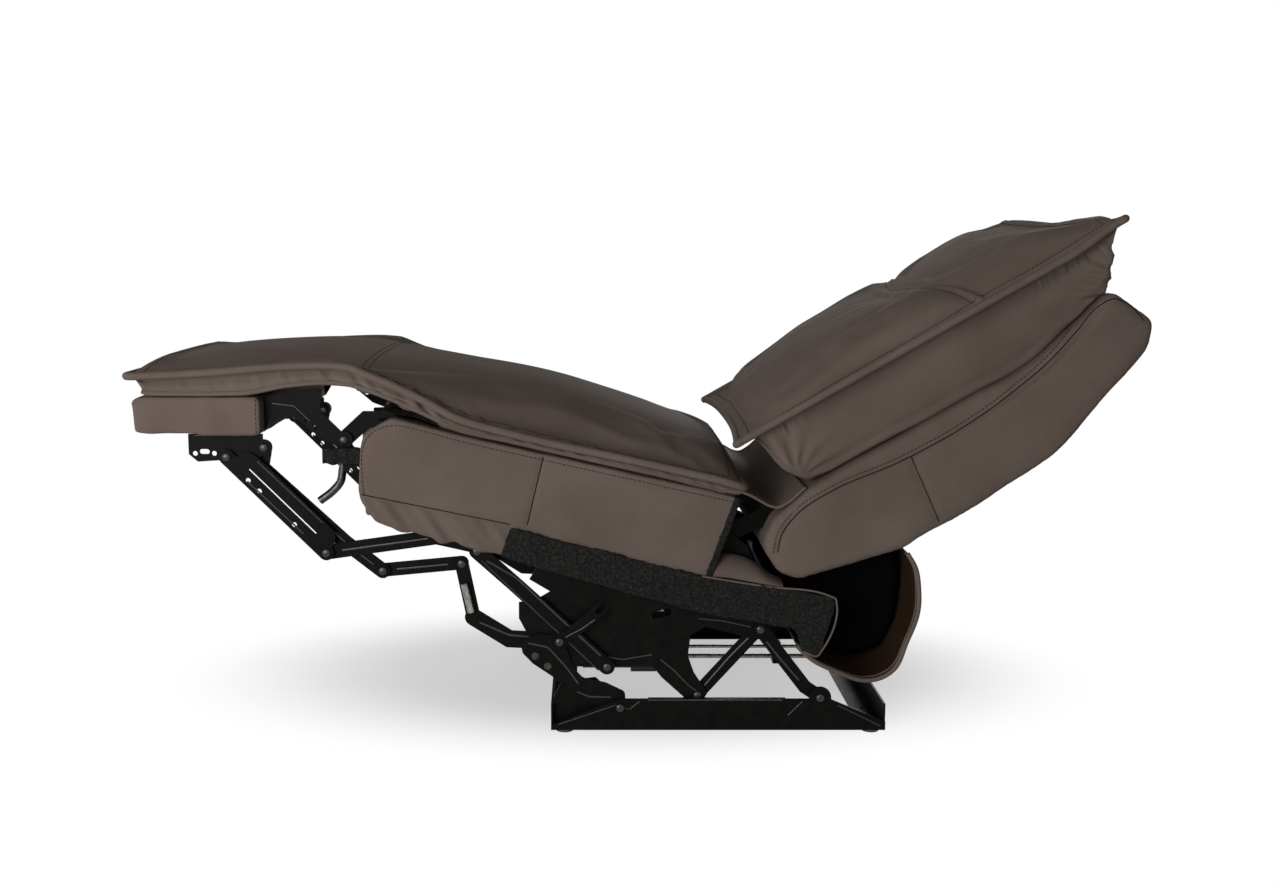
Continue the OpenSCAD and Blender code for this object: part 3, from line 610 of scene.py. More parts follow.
def lay_on(piece, spots, toward):
    """The places where straight lines from each spot first meet a piece, a hair above its surface."""
    mesh = piece.data
    surface = BVHTree.FromPolygons([v.co for v in mesh.vertices], [p.vertices for p in mesh.polygons])
    way = Vector(toward).normalized()
    laid = []
    for spot in spots:
        hit = surface.ray_cast(Vector(spot), way, SEARCH_REACH)[0]
        if hit is not None:
            laid.append(tuple(hit - way * SURFACE_LIFT))
    return laid


def curve_through(rows, at):
    """The columns of rows against their first one, on curves that never overshoot."""
    rows = np.array(rows, float)
    x, y = rows[:, 0], rows[:, 1:]
    step = np.diff(x)[:, None]
    slope = np.diff(y, axis=0) / step
    tangent = np.zeros_like(y)
    tangent[0], tangent[-1] = slope[0], slope[-1]
    for i in range(1, len(x) - 1):
        same = slope[i - 1] * slope[i] > 0
        wide = step[i - 1] + 2 * step[i]
        narrow = 2 * step[i - 1] + step[i]
        with np.errstate(divide="ignore", invalid="ignore"):
            mean = (wide + narrow) / (wide / slope[i] + narrow / slope[i - 1])
        tangent[i] = np.where(same, mean, 0)
    spot = np.clip(np.searchsorted(x, at, side="right") - 1, 0, len(x) - 2)
    t = ((at - x[spot]) / (x[spot + 1] - x[spot]))[:, None]
    h = step[spot]
    return (y[spot] * (1 + 2 * t) * (1 - t) ** 2 + y[spot + 1] * t * t * (3 - 2 * t)
            + tangent[spot] * h * t * (1 - t) ** 2 - tangent[spot + 1] * h * t * t * (1 - t))


def smooth_run(points, count=None, step=0.006):
    """Evenly spaced points on a smooth curve through the given ones, and the curve's length."""
    points = np.array(points, float)
    knots = np.concatenate([[0], np.cumsum(np.linalg.norm(np.diff(points, axis=0), axis=1))])
    spans = np.diff(knots)[:, None]
    slopes = np.diff(points, axis=0) / spans
    between = (slopes[:-1] * spans[1:] + slopes[1:] * spans[:-1]) / (spans[1:] + spans[:-1])
    tangents = np.vstack([slopes[:1], between, slopes[-1:]])
    dense = []
    for i, span in enumerate(spans[:, 0]):
        for t in np.linspace(0, 1, 24, endpoint=False):
            dense.append(points[i] * (1 + 2 * t) * (1 - t) ** 2 + points[i + 1] * t * t * (3 - 2 * t)
                         + span * t * (1 - t) * (tangents[i] * (1 - t) - tangents[i + 1] * t))
    dense = np.array(dense + [points[-1]])
    run = np.concatenate([[0], np.cumsum(np.linalg.norm(np.diff(dense, axis=0), axis=1))])
    even = np.linspace(0, run[-1], count or max(2, round(run[-1] / step)))
    return np.stack([np.interp(even, run, column) for column in dense.T], 1), float(run[-1])


# The seat's side boards
# Boards wrapped in leather over thin foam. A welt runs just inside the outer face's edge, a seam crosses the
# face, and the lower front strip is gathered under a pleat.
SIDE_SEAM = ((-0.1457, 0.4528), (-0.171, 0.347))
PLEAT = ((-0.4284, 0.3948), (-0.1973, 0.3474))
BOARD_STITCH = [(-0.4235, 0.396), (-0.4255, 0.430), (-0.4245, 0.462), (-0.419, 0.479), (-0.408, 0.492),
                (-0.394, 0.499), (-0.372, 0.5025), (-0.330, 0.4935), (-0.272, 0.478), (-0.150, 0.450),
                (0.000, 0.4165), (0.146, 0.3835)]
BOARD_OUT = 0.45
SEAM_RADIUS = 0.0009


def lay_on_side(piece, line, sign):
    """A line of [x, z] laid from outside on a piece's left or right face."""
    return lay_on(piece, [(x, sign * BOARD_OUT, z) for x, z in line], (0, -sign, 0))


for side, sign in (("left", -1), ("right", 1)):
    node = f"seat_side_{side}"
    board = upholster(f"seat_side_cover_{side}", [node], edge=0.009, voxel=0.0042)
    points = coordinates(board)
    outer = ease(points[:, 1] * sign, low=0.275, high=0.295)
    face_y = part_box(node)[1 if sign > 0 else 0][1]
    slope = (PLEAT[1][1] - PLEAT[0][1]) / (PLEAT[1][0] - PLEAT[0][0])
    below = PLEAT[0][1] + slope * (points[:, 0] - PLEAT[0][0]) - points[:, 2]
    strip = ease(below, low=0.0, high=0.010) * ease(-points[:, 0], low=0.195, high=0.215)
    gathers = ripples(points, (0.86, 0, 0.5), spacing=0.030, seed=11, waves=5, spread=0.12)
    stretch = ripples(points, (0.9, 0, -0.45), spacing=0.09, seed=12, spread=0.25)
    amount = outer * (-0.0024 * crease(points, SIDE_SEAM, face_y, width=0.004)
                      - 0.0032 * crease(points, PLEAT, face_y, width=0.0045)
                      - 0.0016 * crease(points, BOARD_STITCH, face_y, width=0.004)
                      + strip * (0.0022 * gathers + 0.0012) + 0.0005 * stretch)
    push(board, amount)
    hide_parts(node)
    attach(board, "seat")
    paths = [lay_on_side(board, smooth_run(line)[0], sign) for line in (SIDE_SEAM, PLEAT)]
    seams = roll(f"seat_side_seams_{side}", paths, SEAM_RADIUS, thread, sides=8)
    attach(seams, "seat")
    row = lay_on_side(board, smooth_run(BOARD_STITCH)[0], sign)
    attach(topstitch(f"seat_side_stitches_{side}", [row]), "seat")


# The seat's front board
# The board that joins the side boards behind the knee, wrapped in the same leather.
front_cover = upholster("seat_front_cover", ["seat_front_board"], edge=0.006, voxel=0.005, passes=5)
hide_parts("seat_front_board")
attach(front_cover, "seat")


# The footrest board
# A board wrapped in leather with a thin foam layer, stitched down the rear corners of its sides.
board = upholster("footrest_board_cover", ["footrest_board"], edge=0.007, voxel=0.0045)
points = coordinates(board)
push(board, 0.0008 * ripples(points, (1, 0.3, 0.2), spacing=0.07, seed=21))
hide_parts("footrest_board")
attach(board, "footrest")
BOARD_INSET = 0.006
low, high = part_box("footrest_board")
corner_x = high[0] - BOARD_INSET
line = smooth_run([(corner_x, high[2] - BOARD_INSET), (corner_x, low[2] + BOARD_INSET)])[0]
rows = [lay_on_side(board, line, sign) for sign in (-1, 1)]
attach(topstitch("footrest_board_stitches", rows), "footrest")


# The back shell
# A moulded and padded shell behind the pillow. A seam with a row of stitches beside it follows the front
# edge of the side face, and another seam crosses that face. The back brackets' blades go up into the shell.
SHELL_SEAM = [(0.4216, 0.4542), (0.4688, 0.352)]
SHELL_EDGE = [(0.219, 0.303), (0.224, 0.330), (0.250, 0.366), (0.3047, 0.4025), (0.4034, 0.4464),
              (0.4936, 0.4962), (0.5676, 0.5502), (0.6259, 0.6008), (0.6687, 0.6495), (0.7010, 0.6860),
              (0.720, 0.6965), (0.742, 0.690), (0.770, 0.663)]
SHELL_SIDE = 0.298
STITCH_GAP = 0.007
SHELL_FILL = 0.006
SHELL_FOAM = 0.0022
SHELL_FACE = np.array([(0.262, 0.400), (0.722, 0.706)])
SHELL_RISE = (SHELL_FACE[1] - SHELL_FACE[0]) / np.linalg.norm(SHELL_FACE[1] - SHELL_FACE[0])
SHELL_DIP = [(0.280, 0.0), (0.420, 0.012), (0.500, 0.019), (0.585, 0.026), (0.650, 0.015), (0.715, 0.0)]

shell = upholster("back_shell_cover", ["back_shell"], edge=0.012, voxel=0.006, passes=10)
points = coordinates(shell)
side_face = ease(np.abs(points[:, 1]), low=0.278, high=0.294)
groove = np.max([crease(points, line, sign * SHELL_SIDE, width=0.0055)
                 for sign in (-1, 1) for line in (SHELL_SEAM, SHELL_EDGE)], axis=0)
inward = (points[:, [0, 2]] - SHELL_FACE[0]) @ np.array([-SHELL_RISE[1], SHELL_RISE[0]])
dip = curve_through(SHELL_DIP, np.clip(points[:, 0], SHELL_DIP[0][0], SHELL_DIP[-1][0]))[:, 0]
dip *= ease(inward, -0.075, -0.002)
move_points(shell, points + dip[:, None] * np.array([SHELL_RISE[1], 0, -SHELL_RISE[0]]))
downward = ease(normals_of(shell) @ np.array([0.55, 0, -0.83]), 0.3, 0.9)
filling = SHELL_FILL * downward * ease(points[:, 0], 0.43, 0.50) * (1 - ease(points[:, 0], 0.66, 0.76))
unevenness = 0.0008 * ripples(points, (0.5, 0.2, 0.8), spacing=0.11, seed=31)
push(shell, side_face * -0.0026 * groove + unevenness + filling + SHELL_FOAM)
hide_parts("back_shell")
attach(shell, "back")


def way_along(line):
    """The unit direction of a line of [x, z] at each of its points."""
    way = np.gradient(line, axis=0)
    return way / np.linalg.norm(way, axis=1, keepdims=True)


edge = smooth_run(SHELL_EDGE)[0]
way = way_along(edge)
beside = edge + STITCH_GAP * np.stack([-way[:, 1], way[:, 0]], 1)
paths = [lay_on_side(shell, line, sign) for sign in (-1, 1) for line in (smooth_run(SHELL_SEAM)[0], edge)]
rows = [lay_on_side(shell, beside, sign) for sign in (-1, 1)]
seams = roll("back_shell_seams", paths, SEAM_RADIUS, thread, sides=8)
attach(seams, "back")
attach(topstitch("back_shell_stitches", rows), "back")


# The chaise pad
# One long pad over the seat and the footrest, sewn from a crowned top panel and a low band. The two meet in
# a rolled flange all round, and the panel's leather is cut full, so that it folds at the knee.
# A pad is made of rings across it. Its rows give each ring's place, underside, flange seam and crown.
HALF_WIDTH = 0.300
FLANGE_REACH = 0.013
FLANGE_HALF = 0.0035
VALLEY_CURVE = 1.4
EDGE_STEPS = [0, 0.005, 0.010, 0.013, 0.018, 0.024, 0.031, 0.039]
PANEL_STEP = 0.009
UNDERSIDE_POINTS = 41
RING_PITCH = 0.0075
RING_LEAST = 0.0024


def ring_places(rows):
    """The places of a pad's rings: evenly spaced, and one at each row."""
    even = np.arange(rows[0][0], rows[-1][0], RING_PITCH)
    at = np.unique(np.round(np.concatenate([even, [row[0] for row in rows]]), 4))
    return at[np.concatenate([[True], np.diff(at) > RING_LEAST])]


def pad_rings(rows, at, band_reach, fullness=3.4, valley=None):
    """Rings of [across, depth] round a pad: crowned panel, flange, drawn-in band, underside."""
    inner = HALF_WIDTH - EDGE_STEPS[-1]
    middle = np.linspace(inner, -inner, 2 * round(inner / PANEL_STEP) + 1)
    top_y = np.concatenate([HALF_WIDTH - np.array(EDGE_STEPS[:-1]), middle,
                            -HALF_WIDTH + np.array(EDGE_STEPS[:-1])[::-1]])
    values = curve_through(rows, at)
    rings = []
    for place, (under, seam, crown) in zip(at, values):
        share = np.clip(np.abs(top_y) / (HALF_WIDTH - FLANGE_REACH), 0, 1)
        rise = 1 - share ** fullness
        here = crown
        if valley is not None:
            shifted = np.clip(place - valley * share ** VALLEY_CURVE, rows[0][0], rows[-1][0])
            here = curve_through(rows, shifted)[:, 2]
        top = np.where(np.abs(top_y) > HALF_WIDTH - FLANGE_REACH + 1e-6, seam + FLANGE_HALF,
                       seam + FLANGE_HALF * 0.4 + (here - seam) * rise)
        drop = under - seam
        side = [(-HALF_WIDTH + 0.001, seam - FLANGE_HALF),
                (-HALF_WIDTH + FLANGE_REACH, seam - FLANGE_HALF - 0.001),
                (-HALF_WIDTH + FLANGE_REACH * 1.3, seam + drop * 0.25 - 0.002),
                (-HALF_WIDTH + FLANGE_REACH * band_reach, seam + drop * 0.55),
                (-HALF_WIDTH + FLANGE_REACH * band_reach * 1.05, seam + drop * 0.8),
                (-HALF_WIDTH + FLANGE_REACH * 1.45, under + abs(drop) * 0.05)]
        side = [(a[0] + (b[0] - a[0]) * t, a[1] + (b[1] - a[1]) * t)
                for a, b in zip(side, side[1:]) for t in (0, 1 / 3, 2 / 3)] + side[-1:]
        side_y = [p[0] for p in side]
        side_z = [min(p[1], seam - FLANGE_HALF * 0.9) for p in side]
        low_y = np.linspace(-HALF_WIDTH + FLANGE_REACH * 2, HALF_WIDTH - FLANGE_REACH * 2, UNDERSIDE_POINTS)
        ring_y = np.concatenate([top_y, side_y, low_y, [-y for y in side_y[::-1]]])
        ring_z = np.concatenate([top, side_z, np.full(UNDERSIDE_POINTS, under), side_z[::-1]])
        rings.append(np.stack([ring_y, ring_z], 1))
    return np.array(rings), len(top_y), len(side)


def close_rings(rings):
    """The faces of a closed pad through rings, with one face over each end."""
    count, size = rings.shape[:2]
    faces = []
    for i in range(count - 1):
        for k in range(size):
            nxt = (k + 1) % size
            faces.append((i * size + k, (i + 1) * size + k, (i + 1) * size + nxt, i * size + nxt))
    last = range((count - 1) * size, count * size)
    return faces + [list(range(size)), list(reversed(last))]


def pad_zones(spots, rings, top_count, side_count):
    """Which points of a pad's rings lie on its panel and on its underside, and which are sewn fast."""
    size = rings.shape[1]
    index = np.arange(len(spots)) % size
    is_top = index < top_count
    is_low = (index >= top_count + side_count - 1) & (index <= top_count + side_count + UNDERSIDE_POINTS)
    flange = (np.abs(spots[:, 1]) > HALF_WIDTH - FLANGE_REACH - 1e-4) & is_top
    return is_top, is_low, flange | is_low | (index == top_count) | (index == size - 1)


SETTLE_FRAMES = 24
SETTLE_PRESSURE = 1.2


def settle(piece, pinned, loose, cap, slack):
    """Lets the leather of a pad settle: full where loose, held where pinned, moved by no more than cap."""
    start = coordinates(piece)
    hold = piece.vertex_groups.new(name="held")
    full = piece.vertex_groups.new(name="full")
    for i in np.nonzero(pinned > 0)[0]:
        hold.add([int(i)], float(pinned[i]), "REPLACE")
    for i in np.nonzero(loose > 0.01)[0]:
        full.add([int(i)], float(loose[i]), "REPLACE")
    cloth = piece.modifiers.new("leather", "CLOTH")
    cloth.settings.quality = 5
    cloth.settings.mass = 0.4
    cloth.settings.tension_stiffness = 25
    cloth.settings.compression_stiffness = 25
    cloth.settings.shear_stiffness = 12
    cloth.settings.bending_stiffness = 1.5
    cloth.settings.use_pressure = True
    cloth.settings.uniform_pressure_force = SETTLE_PRESSURE
    cloth.settings.vertex_group_mass = "held"
    cloth.settings.vertex_group_shrink = "full"
    cloth.settings.shrink_min = 0.0
    cloth.settings.shrink_max = -slack
    cloth.settings.effector_weights.gravity = 0
    cloth.collision_settings.use_collision = False
    cloth.point_cache.frame_start = 1
    cloth.point_cache.frame_end = SETTLE_FRAMES
    for number in range(1, SETTLE_FRAMES + 1):
        bpy.context.scene.frame_set(number)
    graph = bpy.context.evaluated_depsgraph_get()
    settled = piece.evaluated_get(graph).to_mesh()
    flat_list = np.zeros(len(start) * 3)
    settled.vertices.foreach_get("co", flat_list)
    piece.modifiers.clear()
    bpy.context.scene.frame_set(1)
    shift = flat_list.reshape(-1, 3) - start
    size = np.linalg.norm(shift, axis=1, keepdims=True)
    shift *= np.minimum(1, cap / np.maximum(size, 1e-9))
    piece.vertex_groups.clear()
    return start + shift


def refine(piece):
    """Subdivides a piece once, smoothly."""
    smooth = piece.modifiers.new("smooth", "SUBSURF")
    smooth.levels = 1
    smooth.render_levels = 1
    bake(piece)
    piece.data.shade_smooth()


def stitch_groove(points):
    """1 along the rows of stitches beside a pad's flange, falling off to 0 a few millimetres away."""
    return bell(HALF_WIDTH - np.abs(points[:, 1]), STITCH_INSET, width=0.0028)


STITCH_INSET = 0.0215
KNEE_SEAMS = (-0.4315, -0.4215)
KNEE_BOW = 0.004
CHAISE_ROWS = [
    (-0.784, 0.5740, 0.5785, 0.5895), (-0.771, 0.5715, 0.5787, 0.5985), (-0.767, 0.551, 0.579, 0.6005),
    (-0.750, 0.5465, 0.5798, 0.6045), (-0.679, 0.546, 0.583, 0.6135), (-0.610, 0.547, 0.5885, 0.6180),
    (-0.540, 0.559, 0.594, 0.6200), (-0.485, 0.5635, 0.5955, 0.6155), (-0.445, 0.5605, 0.593, 0.6100),
    (-0.4235, 0.554, 0.585, 0.6065), (-0.4165, 0.552, 0.582, 0.6060), (-0.378, 0.537, 0.566, 0.6015),
    (-0.330, 0.5155, 0.5425, 0.5945), (-0.272, 0.4885, 0.512, 0.5850), (-0.200, 0.4725, 0.4915, 0.5730),
    (-0.130, 0.4565, 0.4745, 0.5575), (-0.056, 0.4395, 0.459, 0.5350), (0.020, 0.4225, 0.4425, 0.5095),
    (0.060, 0.413, 0.4335, 0.4940), (0.090, 0.4045, 0.4265, 0.4825), (0.125, 0.3945, 0.4185, 0.4640),
    (0.145, 0.390, 0.4125, 0.4480), (0.156, 0.390, 0.409, 0.4345), (0.166, 0.392, 0.405, 0.4130)]

at = ring_places(CHAISE_ROWS)
rings, top_count, side_count = pad_rings(CHAISE_ROWS, at, band_reach=0.95)
spots = np.concatenate([[(x, y, z) for y, z in ring] for x, ring in zip(at, rings)])
chaise = mesh_piece("chaise_pad", spots, close_rings(rings), leather)
is_top, is_low, sewn = pad_zones(spots, rings, top_count, side_count)
ends = (spots[:, 0] < -0.766) | (spots[:, 0] > 0.150)
knee = bell(spots[:, 0], middle=-0.385, width=0.075)
loose = np.clip(0.35 + 0.65 * knee * ease(np.abs(spots[:, 1]), 0.05, 0.24), 0, 1) * is_top
move_points(chaise, settle(chaise, sewn | ends, loose, cap=0.009, slack=0.09))
refine(chaise)
points = coordinates(chaise)
bowed = points[:, 0] - KNEE_BOW * (1 - (points[:, 1] / HALF_WIDTH) ** 2)
above = ease(normals_of(chaise)[:, 2], 0.2, 0.6)
groove = sum(bell(bowed, seam, width=0.0032) for seam in KNEE_SEAMS)
folds = mirrored_ripples(points, (0.94, 0.30, 0), spacing=0.038, seed=42, waves=5, spread=0.14)
folds = np.sign(folds) * np.abs(folds) ** 0.8
near_knee = bell(points[:, 0], middle=-0.330, width=0.065) * ease(np.abs(points[:, 1]), 0.08, 0.25)
lengthways = ripples(points, (0.1, 1, 0), spacing=0.09, seed=43, spread=0.1)
lengthways *= ease(-points[:, 0], 0.42, 0.55)
off_edge = 1 - ease(np.abs(points[:, 1]), HALF_WIDTH - 0.022, HALF_WIDTH - 0.016)
below = ease(-normals_of(chaise)[:, 2], -0.5, 0.0) * ease(np.abs(points[:, 1]), 0.270, 0.282)
tucks = ripples(points, (1, 0, 0.25), spacing=0.028, seed=45, waves=5, spread=0.15)
tuck_zone = 0.4 + 0.6 * bell(points[:, 0], middle=-0.37, width=0.10)
push(chaise, above * (off_edge * (-0.0026 * groove + 0.0046 * near_knee * folds + 0.0013 * lengthways
                                  + 0.0008 * ripples(points, (0.6, 0.7, 0), spacing=0.08, seed=44))
                      - 0.0016 * stitch_groove(points))
     + 0.0022 * below * tucks * tuck_zone)
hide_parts("seat_cushion", "leg_cushion")
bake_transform(chaise)


RIM_STEP = 0.01


def rim(rows, half_width, depth_of, reach, corner, ear=0.0):
    """A closed path round a pad's rim, with its corners drawn out by ear."""
    xs = np.arange(rows[0][0] - reach + corner, rows[-1][0] + reach - corner + 1e-6, RIM_STEP)
    xs[-1] = rows[-1][0] + reach - corner
    left = [(x, -half_width) for x in xs]
    right = [(x, half_width) for x in xs[::-1]]

    def arc(cx, cy, start):
        turns = [(start + k * math.pi / 12, corner + ear * math.sin(k * math.pi / 6) ** 2)
                 for k in range(1, 6)]
        return [(cx + out * math.cos(angle), cy + out * math.sin(angle)) for angle, out in turns]

    last, first = xs[-1], xs[0]
    inside = half_width - corner
    rear = [(last + corner, y) for y in np.arange(-inside, inside + 1e-6, RIM_STEP)]
    front = [(first - corner, y) for y in np.arange(inside, -inside - 1e-6, -RIM_STEP)]
    path = left + arc(last, -inside, -math.pi / 2) + rear + arc(last, inside, 0) + right
    path += arc(first, inside, math.pi / 2) + front + arc(first, -inside, math.pi)
    return [(x, y, depth_of(x)) for x, y in path]


def height_in(rows, column):
    """The height of one column of rows at a place, for paths."""
    low, high = rows[0][0], rows[-1][0]
    return lambda x: float(curve_through(rows, np.array([min(max(x, low), high)]))[0][column])


ROLL_PROUD = 0.001
FLANGE_ROLL = 0.0061
seam_height = height_in(CHAISE_ROWS, 1)
rim_path = rim(CHAISE_ROWS, HALF_WIDTH + ROLL_PROUD, seam_height, reach=ROLL_PROUD, corner=0.012)
top_roll = roll("chaise_flange_roll", [rim_path], FLANGE_ROLL, leather, closed=True)
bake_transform(top_roll)

under_height = height_in(CHAISE_ROWS, 0)
BAND_ROLL = 0.0042
BAND_INSET = 0.0155
BAND_LIFT = 0.0045
low_line = [(x, under_height(x) + BAND_LIFT) for x in np.arange(-0.764, 0.146, RIM_STEP)]
low_paths = [[(x, sign * (HALF_WIDTH - BAND_INSET), z) for x, z in low_line] for sign in (-1, 1)]
low_roll = roll("chaise_band_roll", low_paths, BAND_ROLL, leather)
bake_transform(low_roll)

row_path = rim(CHAISE_ROWS, HALF_WIDTH - STITCH_INSET, seam_height, reach=-STITCH_INSET, corner=0.008)
row = lay_on(chaise, [(x, y, z + 0.15) for x, y, z in row_path], (0, 0, -1))
rows = [topstitch("chaise_stitches", [row], closed=True)]
for number, seam in enumerate(KNEE_SEAMS, 1):
    across = np.linspace(-HALF_WIDTH + STITCH_INSET, HALF_WIDTH - STITCH_INSET, 80)
    spots = [(seam + KNEE_BOW * (1 - (y / HALF_WIDTH) ** 2), y, 0.75) for y in across]
    rows.append(topstitch(f"chaise_knee_stitches_{number}", [lay_on(chaise, spots, (0, 0, -1))]))
for row in rows:
    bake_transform(row)


# The back pillow
# A loose-looking pillow sewn to the shell: a lumbar swell, a fuller head swell above a curved cross seam, a
# rolled flange round the face with ears at its corners, and a deep gathered band behind it. Its rows hold
# places up the leaning face and depths out of it.
BACK_LEAN = math.radians(29.9)
FOOT = np.array([0.154, 0.475])
ALONG = np.array([math.cos(BACK_LEAN), math.sin(BACK_LEAN)])
OUT = np.array([-math.sin(BACK_LEAN), math.cos(BACK_LEAN)])
PILLOW_ROWS = [
    (0.000, -0.005, 0.0, 0.002), (0.013, -0.007, 0.0, 0.0135), (0.028, -0.012, 0.0, 0.0260),
    (0.031, -0.045, 0.0, 0.028), (0.045, -0.083, 0.0, 0.0365), (0.072, -0.113, 0.0, 0.0450),
    (0.120, -0.1165, 0.0, 0.0540), (0.200, -0.1170, 0.0, 0.0650), (0.280, -0.1205, 0.0, 0.0650),
    (0.342, -0.120, 0.0, 0.0560), (0.376, -0.121, 0.0, 0.0380), (0.381, -0.121, 0.0, 0.0360),
    (0.388, -0.1215, 0.0, 0.043), (0.409, -0.1225, 0.0, 0.051), (0.450, -0.120, 0.0, 0.0590),
    (0.520, -0.103, 0.0, 0.0625), (0.580, -0.086, 0.0, 0.0440), (0.604, -0.081, 0.0, 0.0330),
    (0.632, -0.046, 0.0, 0.0200), (0.654, -0.012, 0.0, 0.0100), (0.660, -0.005, 0.0, 0.007),
    (0.668, -0.0045, 0.0, 0.002)]
FOOT_BOW = 0.013
FOOT_BOW_REACH = 0.05
EAR_LIFT = 0.0085


def lay_back(places, across, depth):
    """Points of the pillow, from the distance up its face, across it, and out of it."""
    drawn = FOOT_BOW * (1 - (np.abs(across) / HALF_WIDTH) ** 2.5)
    places = places + np.clip(drawn, 0, None) * np.exp(-np.asarray(places) / FOOT_BOW_REACH)
    lifted = EAR_LIFT * ease(places, 0.57, 0.665) * (np.abs(across) / HALF_WIDTH) ** 5
    flat_points = FOOT + np.outer(places, ALONG) + np.outer(depth + lifted, OUT)
    return np.stack([flat_points[:, 0], across, flat_points[:, 1]], 1)


VALLEY_AT = 0.3785
VALLEY_BOW = 0.056
at = ring_places(PILLOW_ROWS)
rings, top_count, side_count = pad_rings(PILLOW_ROWS, at, band_reach=0.75, fullness=4.6, valley=VALLEY_BOW)
places = np.repeat(at, rings.shape[1])
flat_rings = rings.reshape(-1, 2)
spots = lay_back(places, flat_rings[:, 0], flat_rings[:, 1])
pillow = mesh_piece("back_pillow", spots, close_rings(rings), leather)


def valley_place(across):
    """Where the cross seam's valley runs up the face, that far from the middle."""
    return VALLEY_AT + VALLEY_BOW * (np.abs(across) / HALF_WIDTH) ** VALLEY_CURVE


is_top, is_low, sewn = pad_zones(spots, rings, top_count, side_count)
ends = (places < 0.008) | (places > 0.660)
in_valley = is_top & (np.abs(places - valley_place(spots[:, 1])) < 0.005)
loose = np.where(is_top, 0.4, np.where(is_low, 0.0, 1.0))
move_points(pillow, settle(pillow, sewn | ends | in_valley, loose, cap=0.010, slack=0.05))
refine(pillow)
points = coordinates(pillow)
rise = (points[:, [0, 2]] - FOOT) @ ALONG
depth = (points[:, [0, 2]] - FOOT) @ OUT
valley_line = bell(rise, valley_place(points[:, 1]), width=0.005)
above = ease(depth, 0.001, 0.006)
side_zone = (1 - ease(depth, -0.010, -0.005)) * ease(depth, -0.128, -0.100)
side_zone *= ease(np.abs(points[:, 1]), 0.270, 0.284)


def fan(center, folds, near, far, lean=0.0):
    """Folds that spread from a point of the pillow's band, given as places up and out of its face."""
    run_s, run_d = rise - center[0], depth - center[1]
    reach = np.hypot(run_s, run_d)
    turn = np.arctan2(run_d, -run_s)
    wander = ripples(points, (0.5, 0, 0.8), spacing=0.16, seed=57, waves=4)
    return np.sin(turn * folds + lean + 0.9 * wander) * ease(reach, 0.0, near) * (1 - ease(reach, near, far))


tucks = ripples(points, (ALONG[0], 0, ALONG[1]), spacing=0.0125, seed=52, waves=5, spread=0.12)
swell = mirrored_ripples(points, (0.3, 0, 0.95), spacing=0.09, seed=53, spread=0.35)
gathered = bell(rise, middle=0.56, width=0.07) + 0.8 * bell(rise, middle=0.075, width=0.045)
close_up = bell(depth, middle=-0.016, width=0.013)
UPPER_CORNER = (0.662, -0.107)
LOWER_CORNER = (0.055, -0.100)
sides = (0.0019 * fan(UPPER_CORNER, folds=40, near=0.04, far=0.20)
         + 0.0026 * fan(UPPER_CORNER, folds=19, near=0.04, far=0.26, lean=2.0)
         + 0.0024 * fan(LOWER_CORNER, folds=14, near=0.03, far=0.13, lean=1.0))
panel = ripples(points, (-OUT[0] * 0.2, 0.9, 0.25), spacing=0.07, seed=54, waves=5, spread=0.12)
push(pillow, above * (-0.0058 * valley_line - 0.0014 * stitch_groove(points) + 0.0003 * panel)
     + side_zone * (sides + 0.0012 * swell + 0.0022 * tucks * close_up * gathered))
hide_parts("back_cushion")
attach(pillow, "back")

PILLOW_EAR = 0.005
rim_path = np.array(rim(PILLOW_ROWS, HALF_WIDTH + ROLL_PROUD, lambda place: 0.0, reach=ROLL_PROUD,
                        corner=0.008, ear=PILLOW_EAR))
pillow_roll = roll("pillow_flange_roll", [lay_back(*rim_path.T)], FLANGE_ROLL, leather, closed=True)
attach(pillow_roll, "back")

SEAM_BELOW = 0.012
ABOVE_FACE = 0.15
row_path = np.array(rim(PILLOW_ROWS, HALF_WIDTH - STITCH_INSET, lambda place: ABOVE_FACE,
                        reach=-STITCH_INSET, corner=0.008))
row = lay_on(pillow, lay_back(*row_path.T), (-OUT[0], 0, -OUT[1]))
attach(topstitch("pillow_stitches", [row], closed=True), "back")
across = np.linspace(-HALF_WIDTH + STITCH_INSET, HALF_WIDTH - STITCH_INSET, 90)
places = VALLEY_AT - SEAM_BELOW + VALLEY_BOW * (np.abs(across) / HALF_WIDTH) ** VALLEY_CURVE
spots = lay_back(places, across, np.full(len(across), ABOVE_FACE))
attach(topstitch("pillow_cross_stitches", [lay_on(pillow, spots, (-OUT[0], 0, -OUT[1]))]), "back")


# The crevice cloth
# A strip of leather that closes the gap between the seat and the back. It is sewn to the pad's rear edge,
# dips behind it and comes up to the shell's front edge, with a turned hem at each side.
CREVICE_RUN = [(0.160, 0.3975), (0.172, 0.3935), (0.191, 0.3835), (0.208, 0.3745), (0.220, 0.3725),
               (0.236, 0.3805), (0.252, 0.3945), (0.262, 0.404)]
CREVICE_HALF = 0.288


